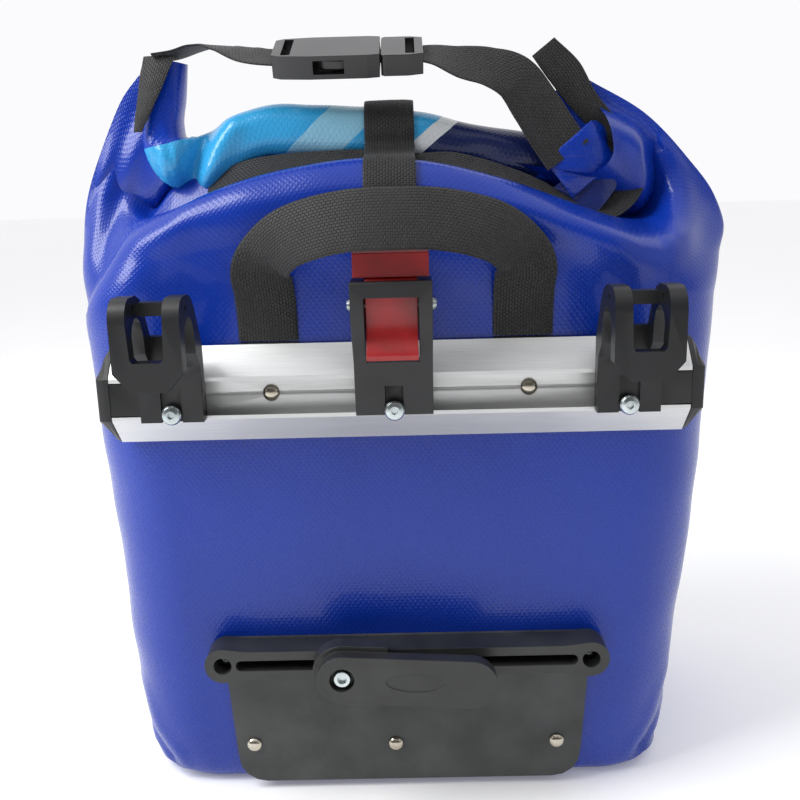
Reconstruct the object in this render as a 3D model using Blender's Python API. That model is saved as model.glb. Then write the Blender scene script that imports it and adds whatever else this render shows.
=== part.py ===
"""Roll-top pannier bag for a bicycle rack, seen from its rack side (-Y), in metres, +Z up.

Sizes are in millimetres in the local frame of the rack side: x runs along the
rail from its middle, y runs into the bag from the rail's back face, z is up
from the ground. SHIFT_Y then puts the whole object's footprint centre on the
origin. Shapes are prisms, lofts of rings, and ribbons, made as meshes here.
"""

import math

import bmesh
import bpy
import numpy as np
from mathutils import Euler, Matrix, Vector
from mathutils.geometry import tessellate_polygon

MM = 0.001
SHARP_ANGLE = math.radians(32)

# Bag
BAG_HALF_WIDTH = 163.5
BAG_BACK_Y = 2.0
BAG_DEPTH = 165.0
BAG_WALL = 2.0
BOARD_THICK = 2.4
MOUTH_HALF = 124.0
ROLL_Y = 54.5
ROLL_Z = 346.5
ROLL_HALF_HEIGHT = 14.5
ROLL_HALF_DEPTH = 14.0

# Rail
RAIL_HALF = 138.4
RAIL_Z = 221.15
RAIL_HALF_HEIGHT = 23.75
LIP_HALF = 10.25
RAIL_DEPTH = 12.0
RAIL_WALL = 1.9
CAP_LENGTH = 6.3
CAP_PLUG_GAP = 1.2
RIVET_X = 62.7
RIVET_HEAD = 4.2

# Hooks
HOOK_X = RAIL_HALF - 30.7
HOOK_HALF = 15.3
HOOK_EAR = 7.4
HOOK_FRONT = -51.6
HOOK_TINE = 7.6
HOOK_BASE = -18.0
HOOK_TOP = 273.3
HOOK_BOTTOM = 233.0
SCREW_HEAD = 4.8
SCREW_Z = 215.0

# Latch
LATCH_X = -2.5
LATCH_HALF = 18.2
LATCH_WALL = 6.0
LATCH_FRONT = -38.0
LATCH_TOP = 277.0
LATCH_FOOT = 213.0
PIN_Y = -22.0
PIN_Z = 265.5
PIN_R = 2.0
PIN_PLAY = 0.15
PIN_HEAD = PIN_R + 1.6

# Webbing
WEB = 25.0
WEB_THICK = 1.5
HANDLE_WEB = 29.0
HANDLE_THICK = 1.3
HANDLE_FOOT = 246.3
HANDLE_FOLD_GAP = 0.9
WEB_Y = 0.95
HANDLE_X = -1.5
HANDLE_LEG = 61.5
HANDLE_Z = 304.5
HANDLE_OUT = -35.0

# Lower bar, panel and arm
BAR_Z = 82.4
BAR_HALF = 102.8
BAR_HALF_HEIGHT = 7.7
BAR_LOBE = 9.4
BAR_FRONT = -16.0
BAR_BACK = -0.9
BAR_HOLE_X = BAR_HALF - 9.3
SLOT_HALF = BAR_HALF - 18.8
SLOT_HALF_HEIGHT = 2.8
PANEL_TOP = 90.0
PANEL_BOTTOM = 5.0
PANEL_RIVETS = ((-83.0, 27.5), (-7.0, 26.5), (79.0, 26.5))
ARM_X = -31.8
ARM_Z = BAR_Z
ARM_TILT = 3.4
ARM_REACH = 64.0
ARM_R = 12.6
ARM_FRONT = -32.0
ARM_PLATE = 7.0
RECESS_DEPTH = 0.5

# Buckle
BUCKLE_X = -32.0
BUCKLE_Y = 40.0
BUCKLE_Z = 380.0
BUCKLE_TILT = 24.0
PRONG_X = 26.2
PRONG_Y = 9.0

# Ladder lock
LOCK_GAP = 0.8
LOCK_THICK = 5.0
LOCK_TOP = 179.0
LOCK_HEIGHT = 23.0
# The sizes that the outlines below are drawn for
DRAWN_HALF_WIDTH = 163.5
DRAWN_DEPTH = 165.0
DRAWN_WEB = 25.0
DRAWN_LEG = 61.5
DRAWN_MOUTH = 124.0

LOCK_FRONT = BAG_BACK_Y + BAG_DEPTH - 1.0 + LOCK_GAP + LOCK_THICK
SHIFT_Y = -(HOOK_FRONT + LOCK_FRONT) / 2


def clear_scene():
    for obj in list(bpy.data.objects):
        bpy.data.objects.remove(obj, do_unlink=True)


def material(name, color, metallic, roughness):
    found = bpy.data.materials.get(name)
    if found:
        return found
    made = bpy.data.materials.new(name)
    made.use_nodes = True
    shader = made.node_tree.nodes["Principled BSDF"]
    shader.inputs["Base Color"].default_value = (color[0], color[1], color[2], 1)
    shader.inputs["Metallic"].default_value = metallic
    shader.inputs["Roughness"].default_value = roughness
    return made


LOOKS = {
    "tarpaulin": ((0.02, 0.06, 0.5), 0.0, 0.25),
    "print": ((0.12, 0.4, 0.65), 0.0, 0.3),
    "webbing": ((0.02, 0.02, 0.022), 0.0, 0.8),
    "nylon": ((0.03, 0.03, 0.032), 0.0, 0.45),
    "sheet": ((0.05, 0.05, 0.05), 0.0, 0.6),
    "red": ((0.35, 0.01, 0.012), 0.0, 0.35),
    "alloy": ((0.78, 0.78, 0.77), 1.0, 0.3),
    "nickel": ((0.75, 0.7, 0.6), 1.0, 0.2),
    "zinc": ((0.75, 0.78, 0.8), 1.0, 0.25),
    "board": ((0.1, 0.1, 0.1), 0.0, 0.7),
}


def paint(obj, look):
    obj.data.materials.append(material(look, *LOOKS[look]))


def mesh_object(name, points, faces, look):
    """A solid from points in mm and faces facing out; bmesh settles the normals."""
    mesh = bpy.data.meshes.new(name)
    scaled = [(p[0] * MM, p[1] * MM, p[2] * MM) for p in points]
    mesh.from_pydata(scaled, [], faces)
    work = bmesh.new()
    work.from_mesh(mesh)
    bmesh.ops.recalc_face_normals(work, faces=work.faces[:])
    work.to_mesh(mesh)
    work.free()
    mesh.shade_smooth()
    mesh.set_sharp_from_angle(angle=SHARP_ANGLE)
    obj = bpy.data.objects.new(name, mesh)
    bpy.context.scene.collection.objects.link(obj)
    paint(obj, look)
    return obj


AXES = {"X": (1, 2, 0), "Y": (0, 2, 1), "Z": (0, 1, 2)}


def prism(name, loops, axis, low, high, look):
    """A prism of the first loop less the other loops, along axis from low to high."""
    first, second, along = AXES[axis]
    flat = [p for loop in loops for p in loop]
    count = len(flat)
    points = []
    for level in (low, high):
        for p in flat:
            at = [0.0, 0.0, 0.0]
            at[first] = p[0]
            at[second] = p[1]
            at[along] = level
            points.append(at)
    caps = tessellate_polygon([[Vector((p[0], p[1], 0)) for p in loop] for loop in loops])
    faces = [tuple(t) for t in caps]
    faces += [tuple(i + count for i in reversed(t)) for t in caps]
    start = 0
    for loop in loops:
        size = len(loop)
        for i in range(size):
            a = start + i
            b = start + (i + 1) % size
            faces.append((a, b, b + count, a + count))
        start += size
    return mesh_object(name, points, faces, look)


def loft(name, rings, look):
    """A closed solid through rings of equal count, with flat ends."""
    size = len(rings[0])
    points = [p for ring in rings for p in ring]
    faces = []
    for r in range(len(rings) - 1):
        for i in range(size):
            a = r * size + i
            b = r * size + (i + 1) % size
            faces.append((a, b, b + size, a + size))
    last = (len(rings) - 1) * size
    faces.append(tuple(range(size)))
    faces.append(tuple(last + i for i in range(size)))
    return mesh_object(name, points, faces, look)


def circle(x, z, r, count=16, start=0.0):
    """Points of a circle, anticlockwise."""
    turn = [start + 2 * math.pi * i / count for i in range(count)]
    return [(x + r * math.cos(t), z + r * math.sin(t)) for t in turn]


def arc(x, z, r, first, last, count):
    """Points of an arc between two angles in degrees, both ends included."""
    turn = np.radians(np.linspace(first, last, count))
    return [(x + r * math.cos(t), z + r * math.sin(t)) for t in turn]


def box_loop(x0, x1, z0, z1):
    return [(x0, z0), (x1, z0), (x1, z1), (x0, z1)]


def stadium(x0, x1, z, r, count=8):
    """A slot outline between two end centres."""
    return arc(x1, z, r, -90, 90, count) + arc(x0, z, r, 90, 270, count)


def turned(name, profile, x, z, look, count=16):
    """A solid of revolution about a line along Y; profile is (radius, y) pairs."""
    rings = []
    for radius, y in profile:
        rings.append([(p[0], y, p[1]) for p in circle(x, z, radius, count)])
    return loft(name, rings, look)


def pivot_at(obj, x, y, z):
    """Puts the object's origin on its joint's axis and leaves its shape where it is."""
    place = Vector((x, y, z)) * MM
    obj.data.transform(Matrix.Translation(-place))
    obj.location = place
    return obj


def helper(obj):
    """Marks a cutter, or a shape joined to another object."""
    obj.hide_render = True
    obj.display_type = "WIRE"
    return obj


def combine(obj, other, operation):
    step = obj.modifiers.new(operation.lower(), "BOOLEAN")
    step.operation = operation
    step.solver = "EXACT"
    step.object = helper(other)
    return obj


def join(obj, other):
    return combine(obj, other, "UNION")


def cut(obj, other):
    return combine(obj, other, "DIFFERENCE")


def ribbon(name, path, across, width, thick, look):
    """A strap along path; across gives the direction of its width at each point."""
    rings = []
    for i, at in enumerate(path):
        before = np.array(path[max(i - 1, 0)], float)
        after = np.array(path[min(i + 1, len(path) - 1)], float)
        ahead = after - before
        ahead /= np.linalg.norm(ahead)
        side = np.array(across[i], float)
        side -= ahead * side.dot(ahead)
        side /= np.linalg.norm(side)
        up = np.cross(ahead, side)
        half = side * width / 2
        rise = up * thick / 2
        here = np.array(at, float)
        rings.append([here - half - rise, here + half - rise, here + half + rise, here - half + rise])
    return loft(name, rings, look)


# (half width, back y, front y, corner, z mid, z at the sides, back bow, front bow)
BAG_RINGS = (
    (128.0, 15.0, 151.0, 30.0, 0.0, 0.0, 0.0, 0.0),
    (139.0, 9.0, 158.0, 36.0, 3.0, 3.0, 0.0, 0.0),
    (144.5, 5.0, 162.0, 40.0, 11.0, 11.0, 0.0, 0.0),
    (148.0, 2.8, 165.0, 42.0, 25.0, 25.0, 0.0, 0.0),
    (150.0, 2.0, 166.0, 42.0, 48.0, 48.0, 0.0, 0.0),
    (152.5, 2.0, 167.0, 42.0, 80.0, 80.0, 0.0, 0.0),
    (156.0, 2.0, 167.0, 42.0, 130.0, 130.0, 0.0, 0.0),
    (159.0, 2.0, 166.0, 42.0, 180.0, 180.0, 0.0, 0.0),
    (162.0, 2.0, 163.0, 42.0, 230.0, 230.0, 0.0, 0.0),
    (163.5, 2.0, 157.0, 40.0, 268.0, 268.0, 0.0, 4.0),
    (161.0, 2.4, 146.0, 36.0, 298.0, 290.0, 10.0, 12.0),
    (155.0, 4.6, 128.0, 30.0, 316.0, 305.0, 24.0, 22.0),
    (147.0, 12.0, 104.0, 20.0, 324.5, 315.0, 24.0, 20.0),
    (136.0, 28.0, 80.0, 12.0, 327.0, 317.0, 12.0, 8.0),
    (MOUTH_HALF, 47.5, 61.5, 6.5, 325.0, 308.0, 0.0, 0.0),
    (MOUTH_HALF, 47.5, 61.5, 6.5, 331.0, 314.0, 0.0, 0.0),
)


def scaled_ring(row):
    """The ring's numbers stretched to the bag's stated width and depth."""
    wide = BAG_HALF_WIDTH / DRAWN_HALF_WIDTH
    deep = BAG_DEPTH / DRAWN_DEPTH
    half, back, front, corner, mid, side, bow_b, bow_f = row
    if half != MOUTH_HALF:
        half *= wide
        corner *= min(wide, deep)
    if front > 62:
        front = BAG_BACK_Y + (front - 2.0) * deep
    back += BAG_BACK_Y - 2.0
    return half, back, front, corner, mid, side, bow_b, bow_f


def ring_points(row):
    """48 points round the bag, from the middle of the back towards +x."""
    half, back, front, corner, mid, side, bow_b, bow_f = scaled_ring(row)
    edge = half - corner
    y0 = back + bow_b * (edge / half) ** 2
    y1 = front - bow_f * (edge / half) ** 2
    flat = []
    for i in range(6):
        x = edge * i / 6
        flat.append((x, back + bow_b * (x / half) ** 2))
    flat += arc(edge, y0 + corner, corner, -90, 0, 5)
    for i in (1, 2, 3):
        flat.append((half, y0 + corner + (y1 - y0 - 2 * corner) * i / 4))
    flat += arc(edge, y1 - corner, corner, 0, 90, 5)
    for i in range(1, 12):
        x = edge * (1 - i / 6)
        flat.append((x, front - bow_f * (x / half) ** 2))
    flat += arc(-edge, y1 - corner, corner, 90, 180, 5)
    for i in (1, 2, 3):
        flat.append((-half, y1 - corner - (y1 - y0 - 2 * corner) * i / 4))
    flat += arc(-edge, y0 + corner, corner, 180, 270, 5)
    for i in range(5, 0, -1):
        x = -edge * i / 6
        flat.append((x, back + bow_b * (x / half) ** 2))
    return [(x, y, side + (mid - side) * (1 - (x / half) ** 2)) for x, y in flat]


def bag_grid():
    return np.array([ring_points(row) for row in BAG_RINGS])


def grid_normals(grid):
    """Outward normals of the bag's rings."""
    around = np.roll(grid, -1, axis=1) - np.roll(grid, 1, axis=1)
    up = np.gradient(grid, axis=0)
    normal = np.cross(around, up)
    return normal / np.linalg.norm(normal, axis=2, keepdims=True)


def bag_shell():
    outer = bag_grid()
    normal = grid_normals(outer)
    normal[0] = (0, 0, -1)
    normal[-1, :, 2] = 0
    normal[-1] /= np.linalg.norm(normal[-1], axis=1, keepdims=True)
    inner = outer - normal * BAG_WALL
    inner[-1, :, 2] = outer[-1, :, 2]
    count = outer.shape[1]
    rings = len(outer)
    points = [tuple(p) for ring in outer for p in ring]
    points += [tuple(p) for ring in inner for p in ring]
    faces = []
    for r in range(rings - 1):
        for i in range(count):
            a = r * count + i
            b = r * count + (i + 1) % count
            faces.append((a, b, b + count, a + count))
            a += rings * count
            b += rings * count
            faces.append((a, a + count, b + count, b))
    faces.append(tuple(reversed(range(count))))
    faces.append(tuple(rings * count + i for i in range(count)))
    top = (rings - 1) * count
    for i in range(count):
        a = top + i
        b = top + (i + 1) % count
        faces.append((a, b, b + rings * count, a + rings * count))
    return mesh_object("bag_shell", points, faces, "tarpaulin")


def skin_point(grid, normal, around, ring, lift):
    """A point of the bag's surface, by fractions of its rings, lifted off it."""
    count = grid.shape[1]
    i = int(math.floor(around))
    f = around - i
    r = min(int(math.floor(ring)), len(grid) - 2)
    g = ring - r
    total = np.zeros(3)
    for di, wi in ((0, 1 - f), (1, f)):
        for dr, wr in ((0, 1 - g), (1, g)):
            j = (i + di) % count
            total += wi * wr * (grid[r + dr, j] + normal[r + dr, j] * lift)
    return total


# Middle line of the roll: x, z, half height across the line, half depth in y
ROLL_PATH = (
    (-120.0, 381.0, 6.0, 12.5),
    (-124.0, 362.0, 9.0, 13.0),
    (-120.0, 345.0, 11.5, 13.5),
    (-102.0, 336.5, 13.6, 14.0),
    (-62.0, 343.5, 14.3, 14.0),
    (0.0, ROLL_Z, ROLL_HALF_HEIGHT, ROLL_HALF_DEPTH),
    (50.0, 343.5, 14.0, 13.5),
    (82.0, 338.0, 13.5, 12.0),
    (104.0, 336.5, 13.6, 10.0),
    (116.0, 346.0, 13.4, 8.0),
    (107.0, 362.0, 12.6, 5.0),
    (92.0, 374.0, 12.0, 3.2),
)


def roll_top():
    rings = []
    line = [(x * MOUTH_HALF / DRAWN_MOUTH, z, high, deep) for x, z, high, deep in ROLL_PATH]
    for i, (x, z, high, deep) in enumerate(line):
        before = line[max(i - 1, 0)]
        after = line[min(i + 1, len(line) - 1)]
        ahead = np.array((after[0] - before[0], after[1] - before[1]))
        ahead /= np.linalg.norm(ahead)
        ring = []
        for k in range(20):
            t = 2 * math.pi * k / 20
            n = high * math.sin(t)
            ring.append((x - ahead[1] * n, ROLL_Y + deep * math.cos(t), z + ahead[0] * n))
        rings.append(ring)
    return loft("roll_top", rings, "print")


def stiffener_board():
    """The flat board inside the rack-side panel, with an arched top."""
    y = BAG_BACK_Y + BAG_WALL + 0.9
    wide = BAG_HALF_WIDTH / DRAWN_HALF_WIDTH
    half_outline = ((105, 60), (110, 66), (110, 180), (109, 244), (96, 258), (66, 276), (34, 285))
    right = [(x * wide, z) for x, z in half_outline]
    outline = right + [(0, 288)] + [(-x, z) for x, z in reversed(right)]
    return prism("stiffener_board", [outline], "Y", y, y + BOARD_THICK, "board")


def mounting_rail():
    """An extruded channel with leaning flanges, for the hooks' feet."""
    z, h, lip, d, w = RAIL_Z, RAIL_HALF_HEIGHT, LIP_HALF, RAIL_DEPTH, RAIL_WALL
    profile = [
        (0, z - h),
        (0, z + h),
        (-d, z + lip),
        (-d, z + lip - w),
        (-w, z + h - w - 1.3),
        (-w, z + 0.9),
        (-w + 0.5, z),
        (-w, z - 0.9),
        (-w, z - h + w + 1.3),
        (-d, z - lip + w),
        (-d, z - lip),
    ]
    rail = prism("mounting_rail", [profile], "X", -RAIL_HALF, RAIL_HALF, "alloy")
    for x in (-RIVET_X, RIVET_X):
        hole = prism("rail_hole", [circle(x, RAIL_Z, 2.3)], "Y", -6, 4, "alloy")
        cut(rail, hole)
    return rail


def end_cap(name, s):
    z, h, lip, d = RAIL_Z, RAIL_HALF_HEIGHT, LIP_HALF, RAIL_DEPTH
    rings = []
    steps = ((0.3, 0.0, 0.0), (2.5, 1.5, 0.0), (4.8, 5.0, 0.3), (CAP_LENGTH, 9.5, 1.2))
    for dx, shrink, back in steps:
        x = s * (RAIL_HALF + dx)
        half = h - shrink
        tip = min(lip, half - 2)
        rings.append(
            [
                (x, -back, z - half),
                (x, -d - 0.2 + back, z - tip),
                (x, -d - 0.2 + back, z + tip),
                (x, -back, z + half),
            ]
        )
    cap = loft(name, rings, "nylon")
    plug_end = HOOK_X + HOOK_HALF + CAP_PLUG_GAP
    low, high = sorted((s * plug_end, s * (RAIL_HALF + 1.0)))
    plug = prism(name + "_plug", [box_loop(low, high, z - 7.9, z + 7.9)], "Y", -d + 0.2, -2.4, "nylon")
    return join(cap, plug)


def dome_rivet(name, x, z, r, face, depth, shank):
    profile = [
        (shank, face + depth),
        (shank, face - 0.1),
        (r, face - 0.1),
        (r * 0.97, face - 0.8),
        (r * 0.8, face - 1.7),
        (r * 0.45, face - 2.3),
        (0.4, face - 2.5),
    ]
    return turned(name, profile, x, z, "nickel")


def pan_screw(name, x, z, r, face, depth, shank, look="zinc"):
    profile = [
        (shank, face + depth),
        (shank, face),
        (r, face),
        (r, face - 1.1),
        (r * 0.86, face - 2.1),
        (r * 0.5, face - 2.7),
        (r * 0.3, face - 2.75),
        (r * 0.28, face - 1.4),
    ]
    return turned(name, profile, x, z, look)


def hook(name, s):
    """A hook: a base with a foot in the rail, two arching ears and a joined front tine."""
    c = s * HOOK_X
    h = HOOK_HALF
    base_back = -RAIL_DEPTH - 0.5
    base = prism(name, [box_loop(c - h + 0.4, c + h - 0.4, 211.2, 252.5)], "Y", HOOK_BASE, base_back, "nylon")
    neck = box_loop(c - h + 2, c + h - 2, RAIL_Z - 7.6, RAIL_Z + 7.6)
    join(base, prism(name + "_neck", [neck], "Y", base_back - 0.5, -7.5, "nylon"))
    foot = box_loop(c - h + 2, c + h - 2, RAIL_Z - 11.5, RAIL_Z + 11.5)
    join(base, prism(name + "_foot", [foot], "Y", -8.0, -3.0, "nylon"))
    tine_back = HOOK_FRONT + HOOK_TINE
    u = [
        (c - h + 7.5, HOOK_BOTTOM),
        (c + h - 7.5, HOOK_BOTTOM),
        (c + h, HOOK_BOTTOM + 8.5),
        (c + h, 262),
        (c + h - HOOK_EAR, 262),
        (c + h - HOOK_EAR - 0.6, 247.5),
        (c + h - HOOK_EAR - 1.8, 246),
        (c - h + HOOK_EAR + 1.8, 246),
        (c - h + HOOK_EAR + 0.6, 247.5),
        (c - h + HOOK_EAR, 262),
        (c - h, 262),
        (c - h, HOOK_BOTTOM + 8.5),
    ]
    join(base, prism(name + "_tine", [u], "Y", HOOK_FRONT, tine_back, "nylon"))
    top = HOOK_TOP
    ear = [
        (HOOK_FRONT, 258),
        (HOOK_FRONT, 263.5),
        (HOOK_FRONT + 1.2, 268),
        (HOOK_FRONT + 4.2, top - 1.6),
        (HOOK_FRONT + 8, top),
        (-33, top),
        (-27, top - 2.2),
        (-22, top - 8),
        (-17, 256),
        (base_back, 247),
        (base_back, 225),
        (HOOK_BASE + 1, 225),
        (-18.5, 238),
        (-25, 245.5),
        (-26, 255),
        (-28.5, 260.5),
        (-33, 263.5),
        (-37, 263.5),
        (-41.5, 260.5),
        (tine_back, 255),
        (tine_back, 251),
        (HOOK_FRONT, 251),
    ]
    for k, side in enumerate((-1, 1)):
        x0, x1 = sorted((c + side * h, c + side * (h - HOOK_EAR)))
        hole = circle(-38, 268.3, 1.4, 8)
        join(base, prism(f"{name}_ear{k}", [ear, hole], "X", x0, x1, "nylon"))
    bar = [(-33, 264), (-26, 264), (-26, 270), (-33, 270)]
    join(base, prism(name + "_bar", [bar], "X", c - h + 2, c + h - 2, "nylon"))
    slot = box_loop(c - 4.9, c + 4.9, 205, 229)
    cut(base, prism(name + "_slot", [slot], "Y", HOOK_BASE - 3, HOOK_BASE + 2.2, "nylon"))
    cut(base, prism(name + "_bore", [circle(c, SCREW_Z, 2.5)], "Y", HOOK_BASE - 4, 0, "nylon"))
    return pivot_at(base, c, 0, RAIL_Z)


def latch_body():
    """The frame of the middle latch: two cheeks, a top bar and a lower block."""
    c, h = LATCH_X, LATCH_HALF
    back = -RAIL_DEPTH - 0.5
    cheek = [
        (back, LATCH_FOOT),
        (-20, LATCH_FOOT),
        (-22, 222),
        (-24.5, 239),
        (-33, 252),
        (LATCH_FRONT, 262),
        (LATCH_FRONT, LATCH_TOP - 1),
        (LATCH_FRONT + 1, LATCH_TOP),
        (-14, LATCH_TOP),
        (back, LATCH_TOP - 4),
    ]
    pin_hole = circle(PIN_Y, PIN_Z, PIN_R + 0.3, 12)
    body = prism("latch_body", [cheek, pin_hole], "X", c - h, c - h + LATCH_WALL, "nylon")
    join(body, prism("latch_cheek", [cheek, pin_hole], "X", c + h - LATCH_WALL, c + h, "nylon"))
    bar = [
        (LATCH_FRONT, LATCH_TOP - 7),
        (LATCH_FRONT, LATCH_TOP - 1),
        (LATCH_FRONT + 1, LATCH_TOP),
        (LATCH_FRONT + 6.5, LATCH_TOP),
        (LATCH_FRONT + 6.5, LATCH_TOP - 7),
    ]
    join(body, prism("latch_top", [bar], "X", c - h + 2, c + h - 2, "nylon"))
    block = [(back, LATCH_FOOT), (-20, LATCH_FOOT), (-22, 222), (-24.5, 239), (back, 239)]
    join(body, prism("latch_block", [block], "X", c - h + 2, c + h - 2, "nylon"))
    neck = box_loop(c - 12, c + 12, RAIL_Z - 7.6, RAIL_Z + 7.6)
    join(body, prism("latch_neck", [neck], "Y", back - 0.5, -7.5, "nylon"))
    foot = box_loop(c - 12, c + 12, RAIL_Z - 11.5, RAIL_Z + 11.5)
    join(body, prism("latch_foot", [foot], "Y", -8.0, -3.0, "nylon"))
    slot = box_loop(c - 4.2, c + 4.2, 205, 227.5)
    cut(body, prism("latch_slot", [slot], "Y", -30, -18, "nylon"))
    cut(body, prism("latch_bore", [circle(c, SCREW_Z + 0.6, 2.5)], "Y", -30, 0, "nylon"))
    return pivot_at(body, c, 0, RAIL_Z)


def latch_lever():
    """The release lever: a thumb tab above, a hollow finger face below, one pin hole."""
    c = LATCH_X
    half = LATCH_HALF - LATCH_WALL - 0.5
    face = [
        (-27.5, 241.5),
        (-34.5, 241.5),
        (-35.5, 244),
        (-32.5, 246.5),
        (-29.8, 252),
        (-29, 258),
        (-30.4, 264),
        (-30.9, 268),
        (-30.9, 276),
        (-27, 281),
        (-20, 281),
        (-17.5, 272),
        (-17, 262),
        (-21, 256),
        (-24, 250),
    ]
    hole = circle(PIN_Y, PIN_Z, PIN_R + PIN_PLAY, 12)
    lever = prism("latch_lever", [face, hole], "X", c - half, c + half, "red")
    tab = [
        (-30.5, 278.3),
        (-30, 289),
        (-28.5, 290),
        (-26, 290),
        (-25, 288),
        (-23.8, 284),
        (-23.5, 279),
    ]
    join(lever, prism("latch_tab", [tab], "X", c - LATCH_HALF + 1.2, c + LATCH_HALF - 1.2, "red"))
    return pivot_at(lever, c, PIN_Y, PIN_Z)


def latch_pin():
    c = LATCH_X
    reach = LATCH_HALF
    rings = []
    for x, r in (
        (-reach - 2.2, 2.2),
        (-reach - 0.3, PIN_HEAD),
        (-reach - 0.3, PIN_R),
        (reach + 0.3, PIN_R),
        (reach + 0.3, PIN_HEAD),
        (reach + 2.2, 2.2),
    ):
        rings.append([(c + x, p[0], p[1]) for p in circle(PIN_Y, PIN_Z, r, 12)])
    return pivot_at(loft("latch_pin", rings, "zinc"), c, PIN_Y, PIN_Z)


def carry_handle():
    """A flat webbing arch: legs behind the rail, the crest leaning out."""
    half = HANDLE_LEG
    path = []
    across = []
    legs = ((HANDLE_FOOT, WEB_Y), (256.0, 0.3), (268.0, -3.0), (279.0, -9.0))
    for z, y in legs:
        path.append((HANDLE_X - half, y, z))
        across.append((1, 0, 0))
    bend = (
        (-57.5, 288.0, -15.5, 50),
        (-49.0, 295.5, -22.0, 68),
        (-36.0, 300.5, -28.0, 78),
        (-19.0, 303.8, -33.0, 85),
        (0.0, HANDLE_Z, HANDLE_OUT, 90),
    )
    for x, z, y, turn in bend:
        path.append((HANDLE_X + x * half / DRAWN_LEG, y, z))
        t = math.radians(turn)
        across.append((math.cos(t), 0, -math.sin(t)))
    for i in range(len(path) - 2, -1, -1):
        x, y, z = path[i]
        path.append((2 * HANDLE_X - x, y, z))
        sx, sy, sz = across[i]
        across.append((-sx, sy, sz))
    handle = ribbon("carry_handle", path, across, HANDLE_WEB, HANDLE_THICK, "webbing")
    return pivot_at(handle, HANDLE_X, WEB_Y, HANDLE_FOOT)


def offset_line(line, gap):
    """The line moved to its left by gap."""
    moved = []
    for i, at in enumerate(line):
        before = np.array(line[max(i - 1, 0)])
        after = np.array(line[min(i + 1, len(line) - 1)])
        ahead = after - before
        ahead = ahead / np.linalg.norm(ahead)
        moved.append((at[0] - ahead[1] * gap, at[1] + ahead[0] * gap))
    return moved


def handle_anchor(name, s):
    """The end of the handle's webbing, held flat between the rail and the bag."""
    x = HANDLE_X + s * HANDLE_LEG
    path = [(x, WEB_Y, RAIL_Z - 18), (x, WEB_Y, HANDLE_FOOT - HANDLE_FOLD_GAP)]
    return ribbon(name, path, [(1, 0, 0)] * 2, HANDLE_WEB, HANDLE_THICK, "webbing")


def top_strap():
    """The strap over the roll: up the back panel, over, and down the front panel."""
    back = [(BAG_BACK_Y, 247.5), (BAG_BACK_Y, 270), (BAG_BACK_Y, 290)]
    for row in BAG_RINGS[10:14]:
        made = scaled_ring(row)
        back.append((made[1], made[4]))
    line = offset_line(back, 1.25)
    reach = 1.5
    turn = np.radians(np.linspace(205, -15, 12))
    for t in turn:
        y = ROLL_Y + (ROLL_HALF_DEPTH + reach) * math.cos(t)
        z = ROLL_Z + (ROLL_HALF_HEIGHT + reach) * math.sin(t)
        line.append((y, z))
    front = []
    for row in BAG_RINGS[13:6:-1]:
        made = scaled_ring(row)
        front.append((made[2], made[4]))
    line += offset_line(front, 1.6)[1:]
    path = [(LATCH_X, y, z) for y, z in line]
    return ribbon("top_strap", path, [(1, 0, 0)] * len(path), WEB, WEB_THICK, "webbing")


def ladder_lock():
    """The small buckle that holds the top strap's end on the front panel."""
    back = LOCK_FRONT - LOCK_THICK
    low, high = LOCK_TOP - LOCK_HEIGHT, LOCK_TOP
    inner = WEB / 2 + 0.7
    outer = WEB / 2 + 4.5
    loops = [
        box_loop(LATCH_X - outer, LATCH_X + outer, low, high),
        box_loop(LATCH_X - inner, LATCH_X + inner, low + 4, low + 9),
        box_loop(LATCH_X - inner, LATCH_X + inner, low + 13, high - 4),
    ]
    return prism("ladder_lock", loops, "Y", back, LOCK_FRONT, "nylon")


def lock_tab():
    """The short webbing tab below the ladder lock, laid on the front panel."""
    low = LOCK_TOP - LOCK_HEIGHT
    y = LOCK_FRONT - LOCK_THICK / 2
    on_bag = BAG_BACK_Y + BAG_DEPTH + 1.4
    path = [(LATCH_X, y, low - 0.5), (LATCH_X, on_bag + 0.3, low - 9), (LATCH_X, on_bag, low - 42)]
    return ribbon("lock_tab", path, [(1, 0, 0)] * 3, WEB, WEB_THICK, "webbing")


def mouth_band():
    """The webbing edge that shows under the roll on the right."""
    grid = bag_grid()
    normal = grid_normals(grid)
    rings = []
    for a, low, mid, high in (
        (1.0, 12.7, 13.0, 13.3),
        (2.0, 12.5, 13.0, 13.2),
        (3.0, 12.3, 12.6, 13.0),
        (4.0, 12.0, 12.3, 12.7),
        (5.0, 11.6, 12.0, 12.4),
        (6.0, 11.4, 12.0, 12.2),
    ):
        under = [skin_point(grid, normal, a, r, 1.1) for r in (low, mid, high)]
        over = [skin_point(grid, normal, a, r, 2.5) for r in (high, mid, low)]
        rings.append([tuple(p) for p in under + over])
    return loft("mouth_band", rings, "webbing")


def tilted(obj, x=0.0, y=0.0):
    """Sets a buckle piece at the buckle's place and lean, with its origin at x, y on the buckle."""
    lean = Euler((math.radians(BUCKLE_TILT), 0, 0))
    obj.data.transform(Matrix.Translation(Vector((-x, -y, 0)) * MM))
    offset = Vector((x, y, 0))
    offset.rotate(lean)
    obj.location = (Vector((BUCKLE_X, BUCKLE_Y, BUCKLE_Z)) + offset) * MM
    obj.rotation_euler = lean
    return obj


def web_wide(half_outline):
    """The outline of a buckle piece: one long side and its mirror, as wide as the webbing asks."""
    side = [(x, y * WEB / DRAWN_WEB) for x, y in half_outline]
    return side + [(x, -y) for x, y in reversed(side)]


def web_slot(low, high):
    reach = WEB / 2 + 0.3
    return box_loop(low, high, -reach, reach)


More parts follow.
